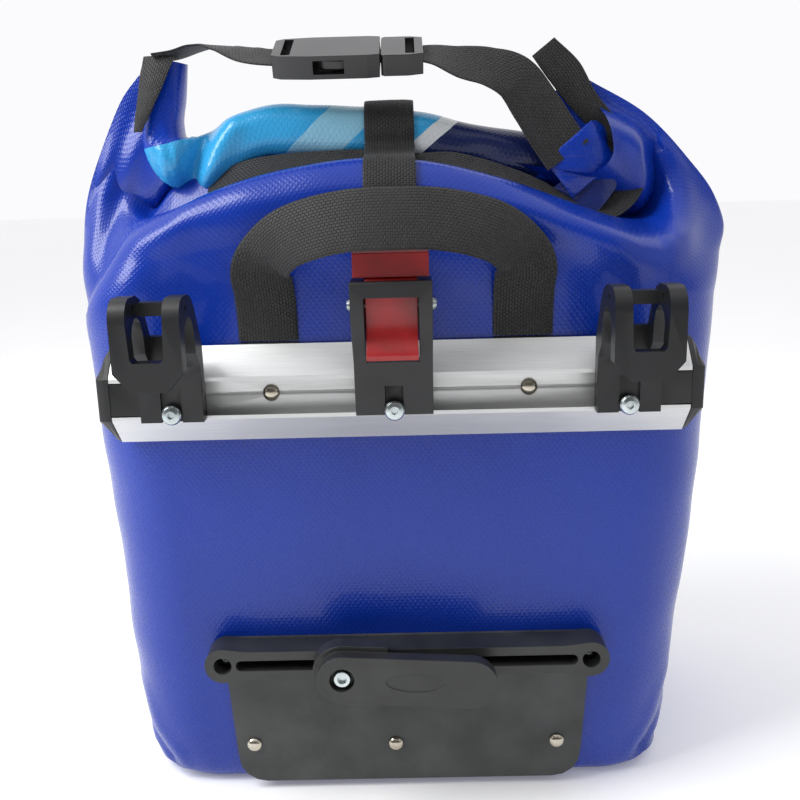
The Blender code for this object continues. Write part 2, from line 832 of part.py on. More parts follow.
def buckle_socket():
    outline = web_wide([(26, 14.8), (20, 16), (-8, 16), (-22, 14.5), (-26, 12)])
    body = prism("buckle_socket", [outline, web_slot(-21.5, -17)], "Z", -5.5, 5.5, "nylon")
    cavity = web_wide([(30, 13.6), (0, 13.6), (-9, 12)])
    window = web_wide([(9, 20), (-6, 20)])
    cut(body, tilted(prism("buckle_cavity", [cavity], "Z", -3.4, 3.4, "nylon")))
    cut(body, tilted(prism("buckle_window", [window], "Z", -3.2, 3.2, "nylon")))
    return tilted(body)


def buckle_plug():
    outline = web_wide([(47, 13.5), (40, 15.5), (28, 15.5), (26.6, 14)])
    body = prism("buckle_plug", [outline, web_slot(38.5, 42.8)], "Z", -5, 5, "nylon")
    tongue = prism("buckle_tongue", [box_loop(2, 28, -2.6, 2.6)], "Z", -2.5, 2.5, "nylon")
    join(body, tilted(tongue))
    return tilted(body)


def buckle_prong(name, s):
    """A prong beside the tongue, hinged where it leaves the plug."""
    outer = [(PRONG_X, 7.2), (PRONG_X, 10.8), (14, 12.2), (7, 13.0), (0, 12.4), (-5, 9.8)]
    inner = [(-6, 8), (-3, 7), (6, 8.6), (16, 8.4)]
    shape = [(x, s * y * WEB / DRAWN_WEB) for x, y in outer + inner]
    prong = prism(name, [shape], "Z", -2.5, 2.5, "nylon")
    return tilted(prong, PRONG_X, s * PRONG_Y * WEB / DRAWN_WEB)


def shoulder_rise(x):
    """How much higher the bag's shoulder stands at x than at the width it is drawn for."""
    shoulder = BAG_RINGS[13]
    half, _, _, _, mid, side, _, _ = scaled_ring(shoulder)
    return (mid - side) * ((x / shoulder[0]) ** 2 - (x / half) ** 2)


def closure_straps():
    """Each strap's middle line, with the direction of its width at each point."""
    lean = math.radians(BUCKLE_TILT)
    skew = WEB / DRAWN_WEB
    lift = shoulder_rise(94.0) + (WEB - DRAWN_WEB) * 0.25
    tilt = (0, math.cos(lean), math.sin(lean))
    left = (
        ((-120.0, 54.5, 382.2), (0, 1, 0)),
        ((-106.0, 54.0, 386.5), (0, 1, 0)),
        ((-96.0, 53.0, 388.0), (0, 1, 0.05)),
        ((-84.0, 49.0, 387.0), (0, 1, 0.2)),
        ((-72.0, 44.0, 383.0), (0, 1, 0.4)),
        ((-67.0, 41.0, 381.4), tilt),
        ((BUCKLE_X - 26.3 - 3.5 * skew, BUCKLE_Y, BUCKLE_Z), tilt),
    )
    right = (
        ((BUCKLE_X + 47.3 + 2.5 * skew, BUCKLE_Y, BUCKLE_Z), tilt),
        ((23.0, 39.6, 378.4), (0, 0.9, 0.5)),
        ((33.0, 39.4, 375.5), (0, 0.75, 0.7)),
        ((48.0, 40.0, 372.5), (0.2, 0.45, 0.9)),
        ((60.0, 40.0, 366.0), (0.8, 0.2, 0.75)),
        ((71.0, 39.0, 352.0), (0.95, 0.1, 0.5)),
        ((78.0, 37.5, 338.0 + lift), (1, 0, 0.4)),
        ((82.0, 36.0, 328.0 + lift), (1, 0, 0.35)),
    )
    for name, line in (("closure_strap_left", left), ("closure_strap_right", right)):
        path = [at for at, turn in line]
        across = [turn for at, turn in line]
        ribbon(name, path, across, WEB, WEB_THICK, "webbing")


def lower_bar():
    """A dog-bone bar with a long slot, a nut channel behind and two screw wells."""
    z, half, r = BAR_Z, BAR_HALF, BAR_LOBE
    h = BAR_HALF_HEIGHT
    neck = half - r - 14
    outline = arc(half - r, z, r, -100, 100, 11)
    outline += [(neck + 6, z + h + 0.6), (neck, z + h), (-neck, z + h), (-neck - 6, z + h + 0.6)]
    outline += arc(r - half, z, r, 80, 280, 11)
    outline += [(-neck - 6, z - h - 0.6), (-neck, z - h), (neck, z - h), (neck + 6, z - h - 0.6)]
    slot = stadium(-SLOT_HALF, SLOT_HALF, z, SLOT_HALF_HEIGHT)
    bores = [circle(x, z, 2.2, 12) for x in (-BAR_HOLE_X, BAR_HOLE_X)]
    bar = prism("lower_bar", [outline, slot] + bores, "Y", BAR_FRONT, BAR_BACK, "nylon")
    channel = box_loop(-SLOT_HALF - 4.5, SLOT_HALF + 4.5, z - 4.7, z + 4.7)
    cut(bar, prism("bar_channel", [channel], "Y", BAR_BACK - 6, BAR_BACK + 3, "nylon"))
    for x in (-BAR_HOLE_X, BAR_HOLE_X):
        cut(bar, prism("bar_well", [circle(x, z, 4.6)], "Y", BAR_FRONT - 3, BAR_BACK - 4, "nylon"))
    return bar


def wear_panel():
    top, low = PANEL_TOP, PANEL_BOTTOM
    outline = [(-95.5, top), (-95, 68), (-92, 22)]
    outline += arc(-77, low + 15, 15, 180, 270, 5)[1:]
    outline += arc(77, low + 15, 15, 270, 360, 5)[:-1]
    outline += [(92, 22), (95, 68), (95.5, top)]
    holes = [circle(x, z, 2.3, 10) for x, z in PANEL_RIVETS]
    return prism("wear_panel", [outline] + holes, "Y", -0.6, BAG_BACK_Y - 0.4, "sheet")


def turned_arm(obj):
    """Leans the arm about its bolt."""
    obj.location = (ARM_X * MM, 0, ARM_Z * MM)
    obj.rotation_euler = (0, math.radians(ARM_TILT), 0)
    return obj


def swing_arm():
    """The keeper arm: a plate held off the bar by a boss round its bolt."""
    front, plate = ARM_FRONT, ARM_PLATE
    outline = arc(ARM_REACH, 0, ARM_R, -90, 90, 11) + arc(0, 0, ARM_R, 90, 270, 11)
    hole = circle(0, 0, 2.8, 12)
    arm = prism("swing_arm", [outline, hole], "Y", front, front + plate, "nylon")
    boss = arc(0, 0, 15.2, 95, 265, 13) + [(22, -12.0), (22, 15.2)]
    join(arm, turned_arm(prism("arm_boss", [boss, hole], "Y", front + plate - 0.6, BAR_FRONT - 0.4, "nylon")))
    well = circle(0, 0, 6.2)
    cut(arm, turned_arm(prism("arm_well", [well], "Y", front - 3, front + 5.2, "nylon")))
    oval = [(36 + x * 14.5, z * 4.9) for x, z in circle(0, 0, 1.0, 32)]
    cut(arm, turned_arm(prism("arm_recess", [oval], "Y", front - 3, front + RECESS_DEPTH, "nylon")))
    return turned_arm(arm)


def arm_bolt():
    face = ARM_FRONT + 4.9
    profile = [
        (2.5, BAR_BACK - 2.2),
        (2.5, face),
        (4.2, face),
        (4.2, face - 3.7),
        (3.9, face - 4.0),
        (2.3, face - 4.0),
        (2.1, face - 2.0),
    ]
    return turned("arm_bolt", profile, ARM_X, ARM_Z, "zinc")


def arm_nut():
    x, z = ARM_X, BAR_Z
    outer = box_loop(x - 4.3, x + 4.3, z - 4.3, z + 4.3)
    return prism("arm_nut", [outer, circle(ARM_X, ARM_Z, 2.56)], "Y", BAR_BACK - 5.4, BAR_BACK - 1.6, "zinc")


def build():
    clear_scene()
    bag_shell()
    roll_top()
    stiffener_board()
    mounting_rail()
    for side, s in (("left", -1), ("right", 1)):
        end_cap("end_cap_" + side, s)
        dome_rivet("rail_rivet_" + side, s * RIVET_X, RAIL_Z, RIVET_HEAD, -RAIL_WALL, 1.6, 2.0)
        hook("hook_" + side, s)
        pan_screw("hook_screw_" + side, s * HOOK_X, SCREW_Z, SCREW_HEAD, HOOK_BASE - 0.3, 12.0, 1.9)
        handle_anchor("handle_anchor_" + side, s)
        pan_screw("bar_screw_" + side, s * BAR_HOLE_X, BAR_Z, 4.0, BAR_BACK - 4.3, 3.8, 1.9)
    latch_body()
    latch_lever()
    latch_pin()
    pan_screw("latch_screw", LATCH_X, SCREW_Z + 0.6, SCREW_HEAD, -21.5, 15.6, 1.9)
    carry_handle()
    top_strap()
    ladder_lock()
    lock_tab()
    mouth_band()
    buckle_socket()
    buckle_plug()
    buckle_prong("buckle_prong_upper", 1)
    buckle_prong("buckle_prong_lower", -1)
    closure_straps()
    lower_bar()
    wear_panel()
    for i, (x, z) in enumerate(PANEL_RIVETS):
        dome_rivet(f"panel_rivet_{i + 1}", x, z, 4.0, -0.7, 1.6, 2.0)
    swing_arm()
    arm_bolt()
    arm_nut()
    for obj in bpy.data.objects:
        obj.location.y += SHIFT_Y * MM


build()
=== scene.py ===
"""Roll-top pannier bag: a glossy tarpaulin bag on an aluminium rail, with two hooks, a middle latch, a
swinging lower arm, webbing straps and a side-release buckle. Laid out as an add-on: sizes and colours
are properties, and each piece or group of like pieces is one operator."""

import math

import bmesh
import bpy
import numpy as np
from bpy.props import FloatProperty, FloatVectorProperty, PointerProperty
from mathutils import Matrix, Vector


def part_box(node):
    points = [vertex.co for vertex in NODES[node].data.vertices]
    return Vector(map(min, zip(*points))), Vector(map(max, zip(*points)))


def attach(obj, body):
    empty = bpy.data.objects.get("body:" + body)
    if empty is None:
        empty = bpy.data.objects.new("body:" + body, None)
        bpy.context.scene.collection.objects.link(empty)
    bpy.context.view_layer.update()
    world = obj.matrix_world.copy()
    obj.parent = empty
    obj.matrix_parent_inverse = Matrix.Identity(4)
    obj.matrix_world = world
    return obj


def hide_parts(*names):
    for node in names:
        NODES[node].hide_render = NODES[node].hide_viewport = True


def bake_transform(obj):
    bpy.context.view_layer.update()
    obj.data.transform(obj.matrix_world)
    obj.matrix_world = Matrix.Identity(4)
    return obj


bl_info = {
    "name": "Roll-top pannier bag",
    "version": (1, 0, 0),
    "blender": (4, 5, 0),
    "location": "3D View > Sidebar > Pannier",
    "description": "Builds a roll-top bicycle pannier with its rail, hooks, latch, arm and straps",
    "category": "Object",
}

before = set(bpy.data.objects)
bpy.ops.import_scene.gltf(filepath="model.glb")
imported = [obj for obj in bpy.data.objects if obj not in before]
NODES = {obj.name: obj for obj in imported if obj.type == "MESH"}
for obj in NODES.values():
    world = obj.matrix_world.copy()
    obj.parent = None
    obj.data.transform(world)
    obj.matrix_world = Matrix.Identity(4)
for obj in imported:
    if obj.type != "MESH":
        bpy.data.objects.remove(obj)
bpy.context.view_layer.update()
MM = 0.001
RAIL_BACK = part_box("mounting_rail")[1][1]
SHARP_ANGLE = 30.0  # degrees above which a moulded piece's edge is rounded and shaded sharp
EDGE_SEGMENTS = {"bar_edge": 3, "buckle_edge": 4}  # two where not given


# ---------------------------------------------------------------- numbers, curves and meshes


def linear(code):
    """A linear colour from an sRGB hex code such as #1c3cb4."""
    share = np.array([int(code[i : i + 2], 16) for i in (1, 3, 5)]) / 255.0
    low, high = share / 12.92, ((share + 0.055) / 1.055) ** 2.4
    return tuple(float(v) for v in np.where(share <= 0.04045, low, high))


def ease(t):
    """A step from 0 to 1 with level ends: three t squared less two t cubed."""
    t = np.clip(t, 0.0, 1.0)
    return t * t * (3.0 - 2.0 * t)


def through(keys, t):
    """The smooth curve through a table of rows, its first column the parameter: cubic pieces whose
    slope at a row is the chord between that row's two neighbours."""
    keys = np.asarray(keys, float)
    at, rows = keys[:, 0], keys[:, 1:]
    slope = np.gradient(rows, at, axis=0)
    t = np.clip(np.asarray(t, float), at[0], at[-1])
    i = np.clip(np.searchsorted(at, t, side="right") - 1, 0, len(at) - 2)
    span = at[i + 1] - at[i]
    f = ((t - at[i]) / span)[..., None]
    span = span[..., None]
    return (
        (2 * f**3 - 3 * f**2 + 1) * rows[i]
        + (f**3 - 2 * f**2 + f) * span * slope[i]
        + (3 * f**2 - 2 * f**3) * rows[i + 1]
        + (f**3 - f**2) * span * slope[i + 1]
    )


def gone(points):
    """The length gone at each point of a row of points, from 0 at the first."""
    return np.concatenate([[0.0], np.cumsum(np.linalg.norm(np.diff(points, axis=0), axis=1))])


def laid_out(rows, columns):
    """Texture places of a grid, from one value for each row and one for each column."""
    return np.stack(np.broadcast_arrays(rows[:, None], columns[None, :]), -1)


def hump(x, wide):
    """A bell curve 1 high: e to the power of minus the square of x over wide."""
    return np.exp(-((x / wide) ** 2))


def along(points, count):
    """A smooth curve of so many points through the given ones, evenly spaced by length."""
    points = np.asarray(points, float)
    length = gone(points[:, :3])
    dense = through(np.column_stack([length, points]), np.linspace(0, length[-1], count * 8))
    length = gone(dense[:, :3])
    even = np.linspace(0, length[-1], count)
    return np.column_stack([np.interp(even, length, dense[:, k]) for k in range(dense.shape[1])])


def gap_to(line, x, z):
    """Distance of each point x, z from a polyline, and on which side of it the point lies: positive on
    the right of the line's direction."""
    line = np.asarray(line, float)
    best = np.full(x.shape, 1e9)
    side = np.ones(x.shape)
    for (ax, az), (bx, bz) in zip(line[:-1], line[1:]):
        dx, dz = bx - ax, bz - az
        f = np.clip(((x - ax) * dx + (z - az) * dz) / (dx * dx + dz * dz), 0.0, 1.0)
        gap = np.hypot(x - ax - f * dx, z - az - f * dz)
        turn = np.sign((z - az) * dx - (x - ax) * dz)
        side = np.where(gap < best, -turn, side)
        best = np.minimum(best, gap)
    return best, side


def ripple(a, b, seed, scale):
    """Soft unevenness about 0: a sum of six sine waves in directions drawn once, each 0.72 times as
    long and 0.75 times as high as the one before."""
    rng = np.random.default_rng(seed)
    total = np.zeros(np.broadcast(a, b).shape)
    weight = 0.0
    for k in range(6):
        turn = rng.uniform(0, math.tau)
        length = scale * 0.72**k
        phase = (a * math.cos(turn) + b * math.sin(turn)) / length * math.tau
        total += 0.75**k * np.sin(phase + rng.uniform(0, math.tau))
        weight += 0.75**k
    return total / weight * 1.7


def placed(points):
    """Points in millimetres from the rail's back face, as metres in the part's frame."""
    return np.asarray(points, float) * MM + np.array([0.0, RAIL_BACK, 0.0])


def new_object(name, mesh):
    obj = bpy.data.objects.new(name, mesh)
    bpy.context.scene.collection.objects.link(obj)
    return obj


def surface(name, grid, uv, wrap=False, caps=False):
    """A mesh on a grid of points, rows by columns: each face joins four neighbours. wrap joins the last
    column to the first, and caps closes the first and last row. uv is in millimetres on the piece, and
    has one more column if it wraps."""
    rows, cols = grid.shape[:2]
    index = np.arange(rows * cols).reshape(rows, cols)
    wide = np.concatenate([index, index[:, :1]], axis=1) if wrap else index
    quads = np.stack([wide[:-1, :-1], wide[:-1, 1:], wide[1:, 1:], wide[1:, :-1]], -1)
    corners = np.stack([uv[:-1, :-1], uv[:-1, 1:], uv[1:, 1:], uv[1:, :-1]], -2).reshape(-1, 2)
    faces = quads.reshape(-1, 4).tolist()
    if caps:
        faces += [index[0, ::-1].tolist(), index[-1].tolist()]
        corners = np.concatenate([corners, uv[0, :cols][::-1], uv[-1, :cols]])
    mesh = bpy.data.meshes.new(name)
    mesh.from_pydata(placed(grid.reshape(-1, 3)).tolist(), [], faces)
    layer = mesh.uv_layers.new(name="Lay")
    layer.data.foreach_set("uv", (corners * MM).astype(np.float32).ravel())
    mesh.update()
    return new_object(name, mesh)


def outward(obj):
    """Turns every face of a closed mesh to point outwards."""
    shape = bmesh.new()
    shape.from_mesh(obj.data)
    bmesh.ops.recalc_face_normals(shape, faces=shape.faces)
    shape.to_mesh(obj.data)
    shape.free()
    return obj


def smooth(obj, angle=40.0):
    """Smooth shading, with edges sharper than the angle left sharp."""
    obj.data.shade_smooth()
    obj.data.set_sharp_from_angle(angle=math.radians(angle))
    return obj


def dressed(obj, material, body="bag"):
    """Gives a finished piece its material and its body."""
    obj.data.materials.clear()
    obj.data.materials.append(material)
    if body:
        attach(obj, body)
    return obj


def band_section(half, thick, count=20):
    """The cross-section of webbing: a flat oval, thick in the middle and rounded over at both edges."""
    turn = np.linspace(0, math.tau, count, endpoint=False)
    across = half * np.sign(np.cos(turn)) * np.abs(np.cos(turn)) ** 0.55
    up = 0.5 * thick * np.sign(np.sin(turn)) * np.abs(np.sin(turn)) ** 0.55
    return across, up


def webbing(name, path, across, half, thick, count=160, cup=0.0, seed=3):
    """A strap: its flat oval section carried along a path. Each point of the path has a direction
    across the strap, and the section's other direction is square to both. cup bends the edges back by
    that many millimetres."""
    rows = along(np.column_stack([path, across]), count)
    middle, side = rows[:, :3], rows[:, 3:6]
    ahead = np.gradient(middle, axis=0)
    ahead /= np.linalg.norm(ahead, axis=1, keepdims=True)
    side = side - (side * ahead).sum(1, keepdims=True) * ahead
    side /= np.linalg.norm(side, axis=1, keepdims=True)
    up = np.cross(side, ahead)
    wide, tall = band_section(half, thick)
    share = wide / half
    length = gone(middle)
    wave = 0.18 * ripple(length[:, None], wide[None, :] * 0.6, seed, 38.0)
    lift = tall[None, :] - cup * share[None, :] ** 2 + wave
    grid = middle[:, None] + side[:, None] * wide[None, :, None] + up[:, None] * lift[..., None]
    uv = laid_out(length, np.concatenate([wide, wide[:1]]))
    return smooth(outward(surface(name, grid, uv, wrap=True, caps=True)), 60)


def refined(node, edge=None):
    """A detailed copy of a CAD node: its loose triangles merged, flat areas made one face, and every
    sharp edge rounded by the named size."""
    mesh = NODES[node].data.copy()
    shape = bmesh.new()
    shape.from_mesh(mesh)
    bmesh.ops.remove_doubles(shape, verts=shape.verts, dist=2e-6)
    bmesh.ops.dissolve_degenerate(shape, edges=shape.edges, dist=5e-6)
    bmesh.ops.dissolve_limit(shape, angle_limit=math.radians(1.5), verts=shape.verts, edges=shape.edges)
    bmesh.ops.recalc_face_normals(shape, faces=shape.faces)
    shape.to_mesh(mesh)
    shape.free()
    obj = new_object(node + "_detail", mesh)
    obj.data.materials.clear()
    smooth(obj, SHARP_ANGLE)
    if edge:
        rounding = obj.modifiers.new("Edge rounding", "BEVEL")
        rounding.width = size(edge) * MM
        rounding.segments = EDGE_SEGMENTS.get(edge, 2)
        rounding.limit_method = "ANGLE"
        rounding.angle_limit = math.radians(SHARP_ANGLE)
        rounding.use_clamp_overlap = True
        rounding.harden_normals = True
    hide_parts(node)
    return obj


# ---------------------------------------------------------------- materials

SCRIM_PITCH = 2.2  # millimetres between the scrim's threads
SCRIM_TURN = 38  # degrees either side of the cloth's length
WEAVE_LONG, WEAVE_TALL, WEAVE_GAP = 2.0, 1.4, 0.34  # millimetres of one float of the webbing's yarn
FRONT_PRINT = 0.150  # metres behind the rail's back face where the front panel's print starts
ROLL_PRINT = -0.342  # metres along the roll, slanted, where its print's ramp starts


def size(name):
    """One of the add-on's sizes, in millimetres."""
    return getattr(bpy.context.scene.pannier_sizes, name) / MM


def look(name):
    """One of the add-on's colours."""
    return getattr(bpy.context.scene.pannier_looks, name)


def add(tree, kind, inputs=None, **settings):
    """Adds one shader node: settings are its options, and inputs its sockets, each a value or another
    output."""
    node = tree.nodes.new(kind)
    for key, value in settings.items():
        setattr(node, key, value)
    for key, value in (inputs or {}).items():
        if isinstance(value, bpy.types.NodeSocket):
            tree.links.new(value, node.inputs[key])
        else:
            node.inputs[key].default_value = value
    return node


def noise(tree, place, scale, detail):
    return add(tree, "ShaderNodeTexNoise", {"Vector": place, "Scale": scale, "Detail": detail}).outputs[0]


def worked(tree, operation, *values):
    return add(tree, "ShaderNodeMath", dict(enumerate(values)), operation=operation).outputs[0]


def ranged(tree, value, low=0.0, high=1.0, least=0.0, most=1.0):
    """A value carried from the range low to high into the range least to most, and held at its ends."""
    ends = {"From Min": low, "From Max": high, "To Min": least, "To Max": most}
    return add(tree, "ShaderNodeMapRange", {"Value": value, **ends}).outputs[0]


def mixed(tree, share, one, two):
    node = add(tree, "ShaderNodeMix", {"Factor": share, "A": rgba(one), "B": rgba(two)}, data_type="RGBA")
    return node.outputs["Result"]


def raised(tree, height, strength, distance, over=None):
    """The normal of a relief so many metres high, laid over another relief's normal."""
    relief = {"Height": height, "Strength": strength, "Distance": distance}
    if over:
        relief["Normal"] = over
    return add(tree, "ShaderNodeBump", relief).outputs[0]


def striped(tree, share, stops):
    """A ramp that holds each stop's colour until the next one."""
    bands = add(tree, "ShaderNodeValToRGB", {"Fac": share})
    bands.color_ramp.interpolation = "CONSTANT"
    for k, (at, colour) in enumerate(stops):
        stop = bands.color_ramp.elements[k] if k < 2 else bands.color_ramp.elements.new(at)
        stop.position = at
        stop.color = rgba(look(colour))
    return bands.outputs[0]


def shaded(tree, out, sockets):
    shader = add(tree, "ShaderNodeBsdfPrincipled", sockets)
    tree.links.new(shader.outputs[0], out.inputs[0])


def blank(name):
    """An empty material, its node tree and its output node."""
    material = bpy.data.materials.new(name)
    material.use_nodes = True
    material.node_tree.nodes.clear()
    return material, material.node_tree, add(material.node_tree, "ShaderNodeOutputMaterial")


def once(make):
    """Makes a material the first time it is asked for, and hands out the same one after that."""

    def ask():
        name = make.__name__
        return bpy.data.materials.get(name) or make(name)

    return ask


def rgba(colour):
    return (*colour[:3], 1.0)


def object_place(tree):
    return add(tree, "ShaderNodeTexCoord").outputs["Object"]


def cloth_place(tree):
    return add(tree, "ShaderNodeUVMap", uv_map="Lay").outputs["UV"]


def stripe_scale(pitch):
    """The Wave node's scale for stripes this many millimetres apart: one turn of its sine is 20 times
    it."""
    return math.tau / 20.0 / (pitch * MM)


@once
def pvc_tarpaulin(name):
    """PVC-coated polyester tarpaulin, calendered glossy, in two close blues: the woven scrim inside
    prints through as a fine diagonal lattice that shows in the highlights."""
    material, tree, out = blank(name)
    place = object_place(tree)
    cast = noise(tree, place, 6.0, 3.0)
    share, print_colour = printed_bands(tree, place)
    tone = mixed(tree, cast, look("tarpaulin_dark"), look("tarpaulin"))
    colour = add(tree, "ShaderNodeMix", {"Factor": share, "A": tone, "B": print_colour}, data_type="RGBA")
    tarpaulin_finish(tree, out, colour.outputs["Result"], place)
    return material


def printed_bands(tree, place):
    """Generic slanted bands of cyan, pale cyan, white and navy, printed on the face away from the
    bicycle. Gives the print's share and its colour."""
    axes = add(tree, "ShaderNodeSeparateXYZ", {"Vector": place})
    slant = worked(tree, "MULTIPLY_ADD", axes.outputs["Z"], -0.62, axes.outputs["X"])
    share = ranged(tree, slant, -0.42, 0.18)
    stops = (
        (0.0, "tarpaulin"),
        (0.2, "print_navy"),
        (0.33, "tarpaulin"),
        (0.5, "print_cyan"),
        (0.62, "print_pale"),
        (0.67, "print_white"),
        (0.70, "print_navy"),
    )
    bands = striped(tree, share, stops)
    front = ranged(tree, axes.outputs["Y"], RAIL_BACK + FRONT_PRINT, RAIL_BACK + FRONT_PRINT + 0.0002)
    return front, bands


def tarpaulin_finish(tree, out, colour, place):
    """The coated cloth's gloss and relief, the same on plain and printed tarpaulin."""
    cloth = cloth_place(tree)
    threads = []
    for turn in (SCRIM_TURN, -SCRIM_TURN):
        lay = add(tree, "ShaderNodeMapping", {"Vector": cloth, "Rotation": (0, 0, math.radians(turn))})
        thread = {"Vector": lay.outputs[0], "Scale": stripe_scale(SCRIM_PITCH), "Distortion": 0.0}
        threads.append(add(tree, "ShaderNodeTexWave", thread).outputs["Fac"])
    scrim = worked(tree, "MAXIMUM", *threads)
    grain = noise(tree, place, 900.0, 2.0)
    lattice = raised(tree, scrim, 0.5, 0.00018)
    shaded(
        tree,
        out,
        {
            "Base Color": colour,
            "Roughness": ranged(tree, grain, least=0.24, most=0.31),
            "IOR": 1.45,
            "Specular IOR Level": 0.4,
            "Coat Weight": 0.25,
            "Coat Roughness": 0.1,
            "Normal": raised(tree, grain, 0.25, 0.00004, lattice),
        },
    )


@once
def printed_tarpaulin(name):
    """The same tarpaulin where the print shows round the roll: slanted bands, with plain blue at both
    ends."""
    material, tree, out = blank(name)
    place = object_place(tree)
    axes = add(tree, "ShaderNodeSeparateXYZ", {"Vector": place})
    along_roll = add(tree, "ShaderNodeSeparateXYZ", {"Vector": cloth_place(tree)}).outputs["X"]
    slant = worked(tree, "MULTIPLY_ADD", axes.outputs["Z"], -1.0, along_roll)
    edge = worked(tree, "MULTIPLY_ADD", noise(tree, place, 120.0, 2.0), 0.0012, slant)
    stops = (
        (0.0, "tarpaulin"),
        (0.108, "print_cyan"),
        (0.30, "print_pale"),
        (0.37, "print_cyan"),
        (0.452, "print_white"),
        (0.477, "print_navy"),
        (0.66, "tarpaulin"),
    )
    bands = striped(tree, ranged(tree, edge, ROLL_PRINT, ROLL_PRINT + 0.4), stops)
    tarpaulin_finish(tree, out, bands, place)
    return material


@once
def navy_tarpaulin(name):
    """Navy-printed tarpaulin of the doubled end: the same coating over two close dark blues."""
    material, tree, out = blank(name)
    place = object_place(tree)
    tone = mixed(tree, noise(tree, place, 30.0, 3.0), look("print_navy"), linear("#1f2f7c"))
    tarpaulin_finish(tree, out, tone, place)
    return material


@once
def ribbed_webbing(name):
    """Polypropylene webbing, woven in a coarse rib: short floats of yarn in staggered rows, worn
    unevenly, with a painted highlight on each crest and painted shade in the hollow between them."""
    material, tree, out = blank(name)
    cloth = cloth_place(tree)
    # The brick colours are painted light: pale bricks are a painted highlight on the crests, and the black
    # mortar is painted shade in the hollows.
    floats = {
        "Vector": cloth,
        "Color1": (1.0, 1.0, 1.0, 1.0),
        "Color2": (0.72, 0.72, 0.72, 1.0),
        "Mortar": (0.0, 0.0, 0.0, 1.0),
        "Scale": 1.0,
        "Mortar Size": WEAVE_GAP * MM,
        "Mortar Smooth": 1.0,
        "Brick Width": WEAVE_LONG * MM,
        "Row Height": WEAVE_TALL * MM,
    }
    weave = add(tree, "ShaderNodeTexBrick", floats).outputs[0]
    fuzz = noise(tree, cloth, 1500.0, 2.0)
    # Uneven wear, which also varies the strength of the painted highlight on the crests.
    wear_and_sheen = noise(tree, cloth, 90.0, 3.0)
    # lit is the painted light of the weave: painted highlight on the crests, painted shade in the hollows.
    lit = worked(tree, "MULTIPLY", ranged(tree, weave, 0.25), wear_and_sheen)
    shaded(
        tree,
        out,
        {
            "Base Color": mixed(tree, lit, look("webbing_painted_shade"), look("webbing")),
            "Roughness": 0.62,
            "Sheen Weight": 0.1,
            "Sheen Roughness": 0.4,
            "Normal": raised(tree, fuzz, 0.4, 0.0001, raised(tree, weave, 1.0, 0.0006)),
        },
    )
    return material


def grained(name, light, dark, rough, grain_mm, depth, coat=0.0, metallic=0.0, streak=(1.0, 1.0, 1.0)):
    """A moulded or brushed surface: two close tones in soft patches, with a fine grain of the given
    size and depth in millimetres. streak draws the grain out along one axis."""
    material, tree, out = blank(name)
    laid = add(tree, "ShaderNodeMapping", {"Vector": object_place(tree), "Scale": streak}).outputs[0]
    patch = noise(tree, laid, 45.0, 4.0)
    grain = noise(tree, laid, 1.0 / (grain_mm * MM), 2.0)
    both = worked(tree, "MULTIPLY_ADD", grain, 0.35, patch)
    shaded(
        tree,
        out,
        {
            "Base Color": mixed(tree, ranged(tree, both, 0.45, 0.9), dark, light),
            "Roughness": ranged(tree, patch, least=rough - 0.07, most=rough + 0.07),
            "Metallic": metallic,
            "Coat Weight": coat,
            "Coat Roughness": 0.2,
            "Normal": raised(tree, grain, 0.5, depth * MM),
        },
    )
    return material


@once
def moulded_nylon(name):
    """Injection-moulded black glass-filled nylon: a fine even grain that gives a soft grey sheen."""
    return grained(name, look("nylon"), linear("#121314"), 0.42, 0.45, 0.05)


@once
def sheen_painted_nylon(name):
    """Injection-moulded nylon of the lower bar and arm: the hooks' black nylon painted greyer, the grey
    being painted sheen for the light they catch, with a satin grain."""
    return grained(name, look("nylon_painted_sheen"), linear("#232423"), 0.44, 0.5, 0.04)


@once
def moulded_acetal(name):
    """Injection-moulded black acetal of the side-release buckle: smoother and glossier than the
    nylon."""
    return grained(name, look("nylon"), linear("#101012"), 0.3, 0.8, 0.02, coat=0.2)


@once
def red_acetal(name):
    """Injection-moulded red acetal: deep in colour, satin, with softly uneven gloss."""
    return grained(name, look("red"), linear("#7c1013"), 0.34, 0.7, 0.03, coat=0.15)


@once
def extruded_aluminium(name):
    """Extruded aluminium, clear anodised: bright, with fine die lines that run along the rail."""
    dark, streak = linear("#c9cbcc"), (0.03, 1.0, 1.0)
    return grained(name, look("aluminium"), dark, 0.4, 0.5, 0.012, metallic=0.6, streak=streak)


@once
def nickel_plate(name):
    """Nickel-plated steel of the rivets: warm and mirror-like with tiny handling marks."""
    return grained(name, linear("#d8d2c4"), linear("#a89f8e"), 0.2, 0.5, 0.015, metallic=1.0)


@once
def zinc_plate(name):
    """Clear zinc-plated steel of the screws: cool and bright."""
    return grained(name, linear("#d4dcdc"), linear("#98a2a4"), 0.26, 0.4, 0.02, metallic=1.0)


@once
def plastic_sheet(name):
    """Charcoal polyethylene wear sheet, calendered with a fine grain: matt, with grey scuffs."""
    return grained(name, look("sheet"), linear("#2b2c2b"), 0.5, 0.6, 0.05)


@once
def corrugated_board(name):
    """Black hollow polypropylene board inside the bag: satin with faint flutes up its height."""
    return grained(name, linear("#2c2d2e"), linear("#1a1b1b"), 0.4, 2.0, 0.1, streak=(1.0, 1.0, 0.05))


# ---------------------------------------------------------------- shapes

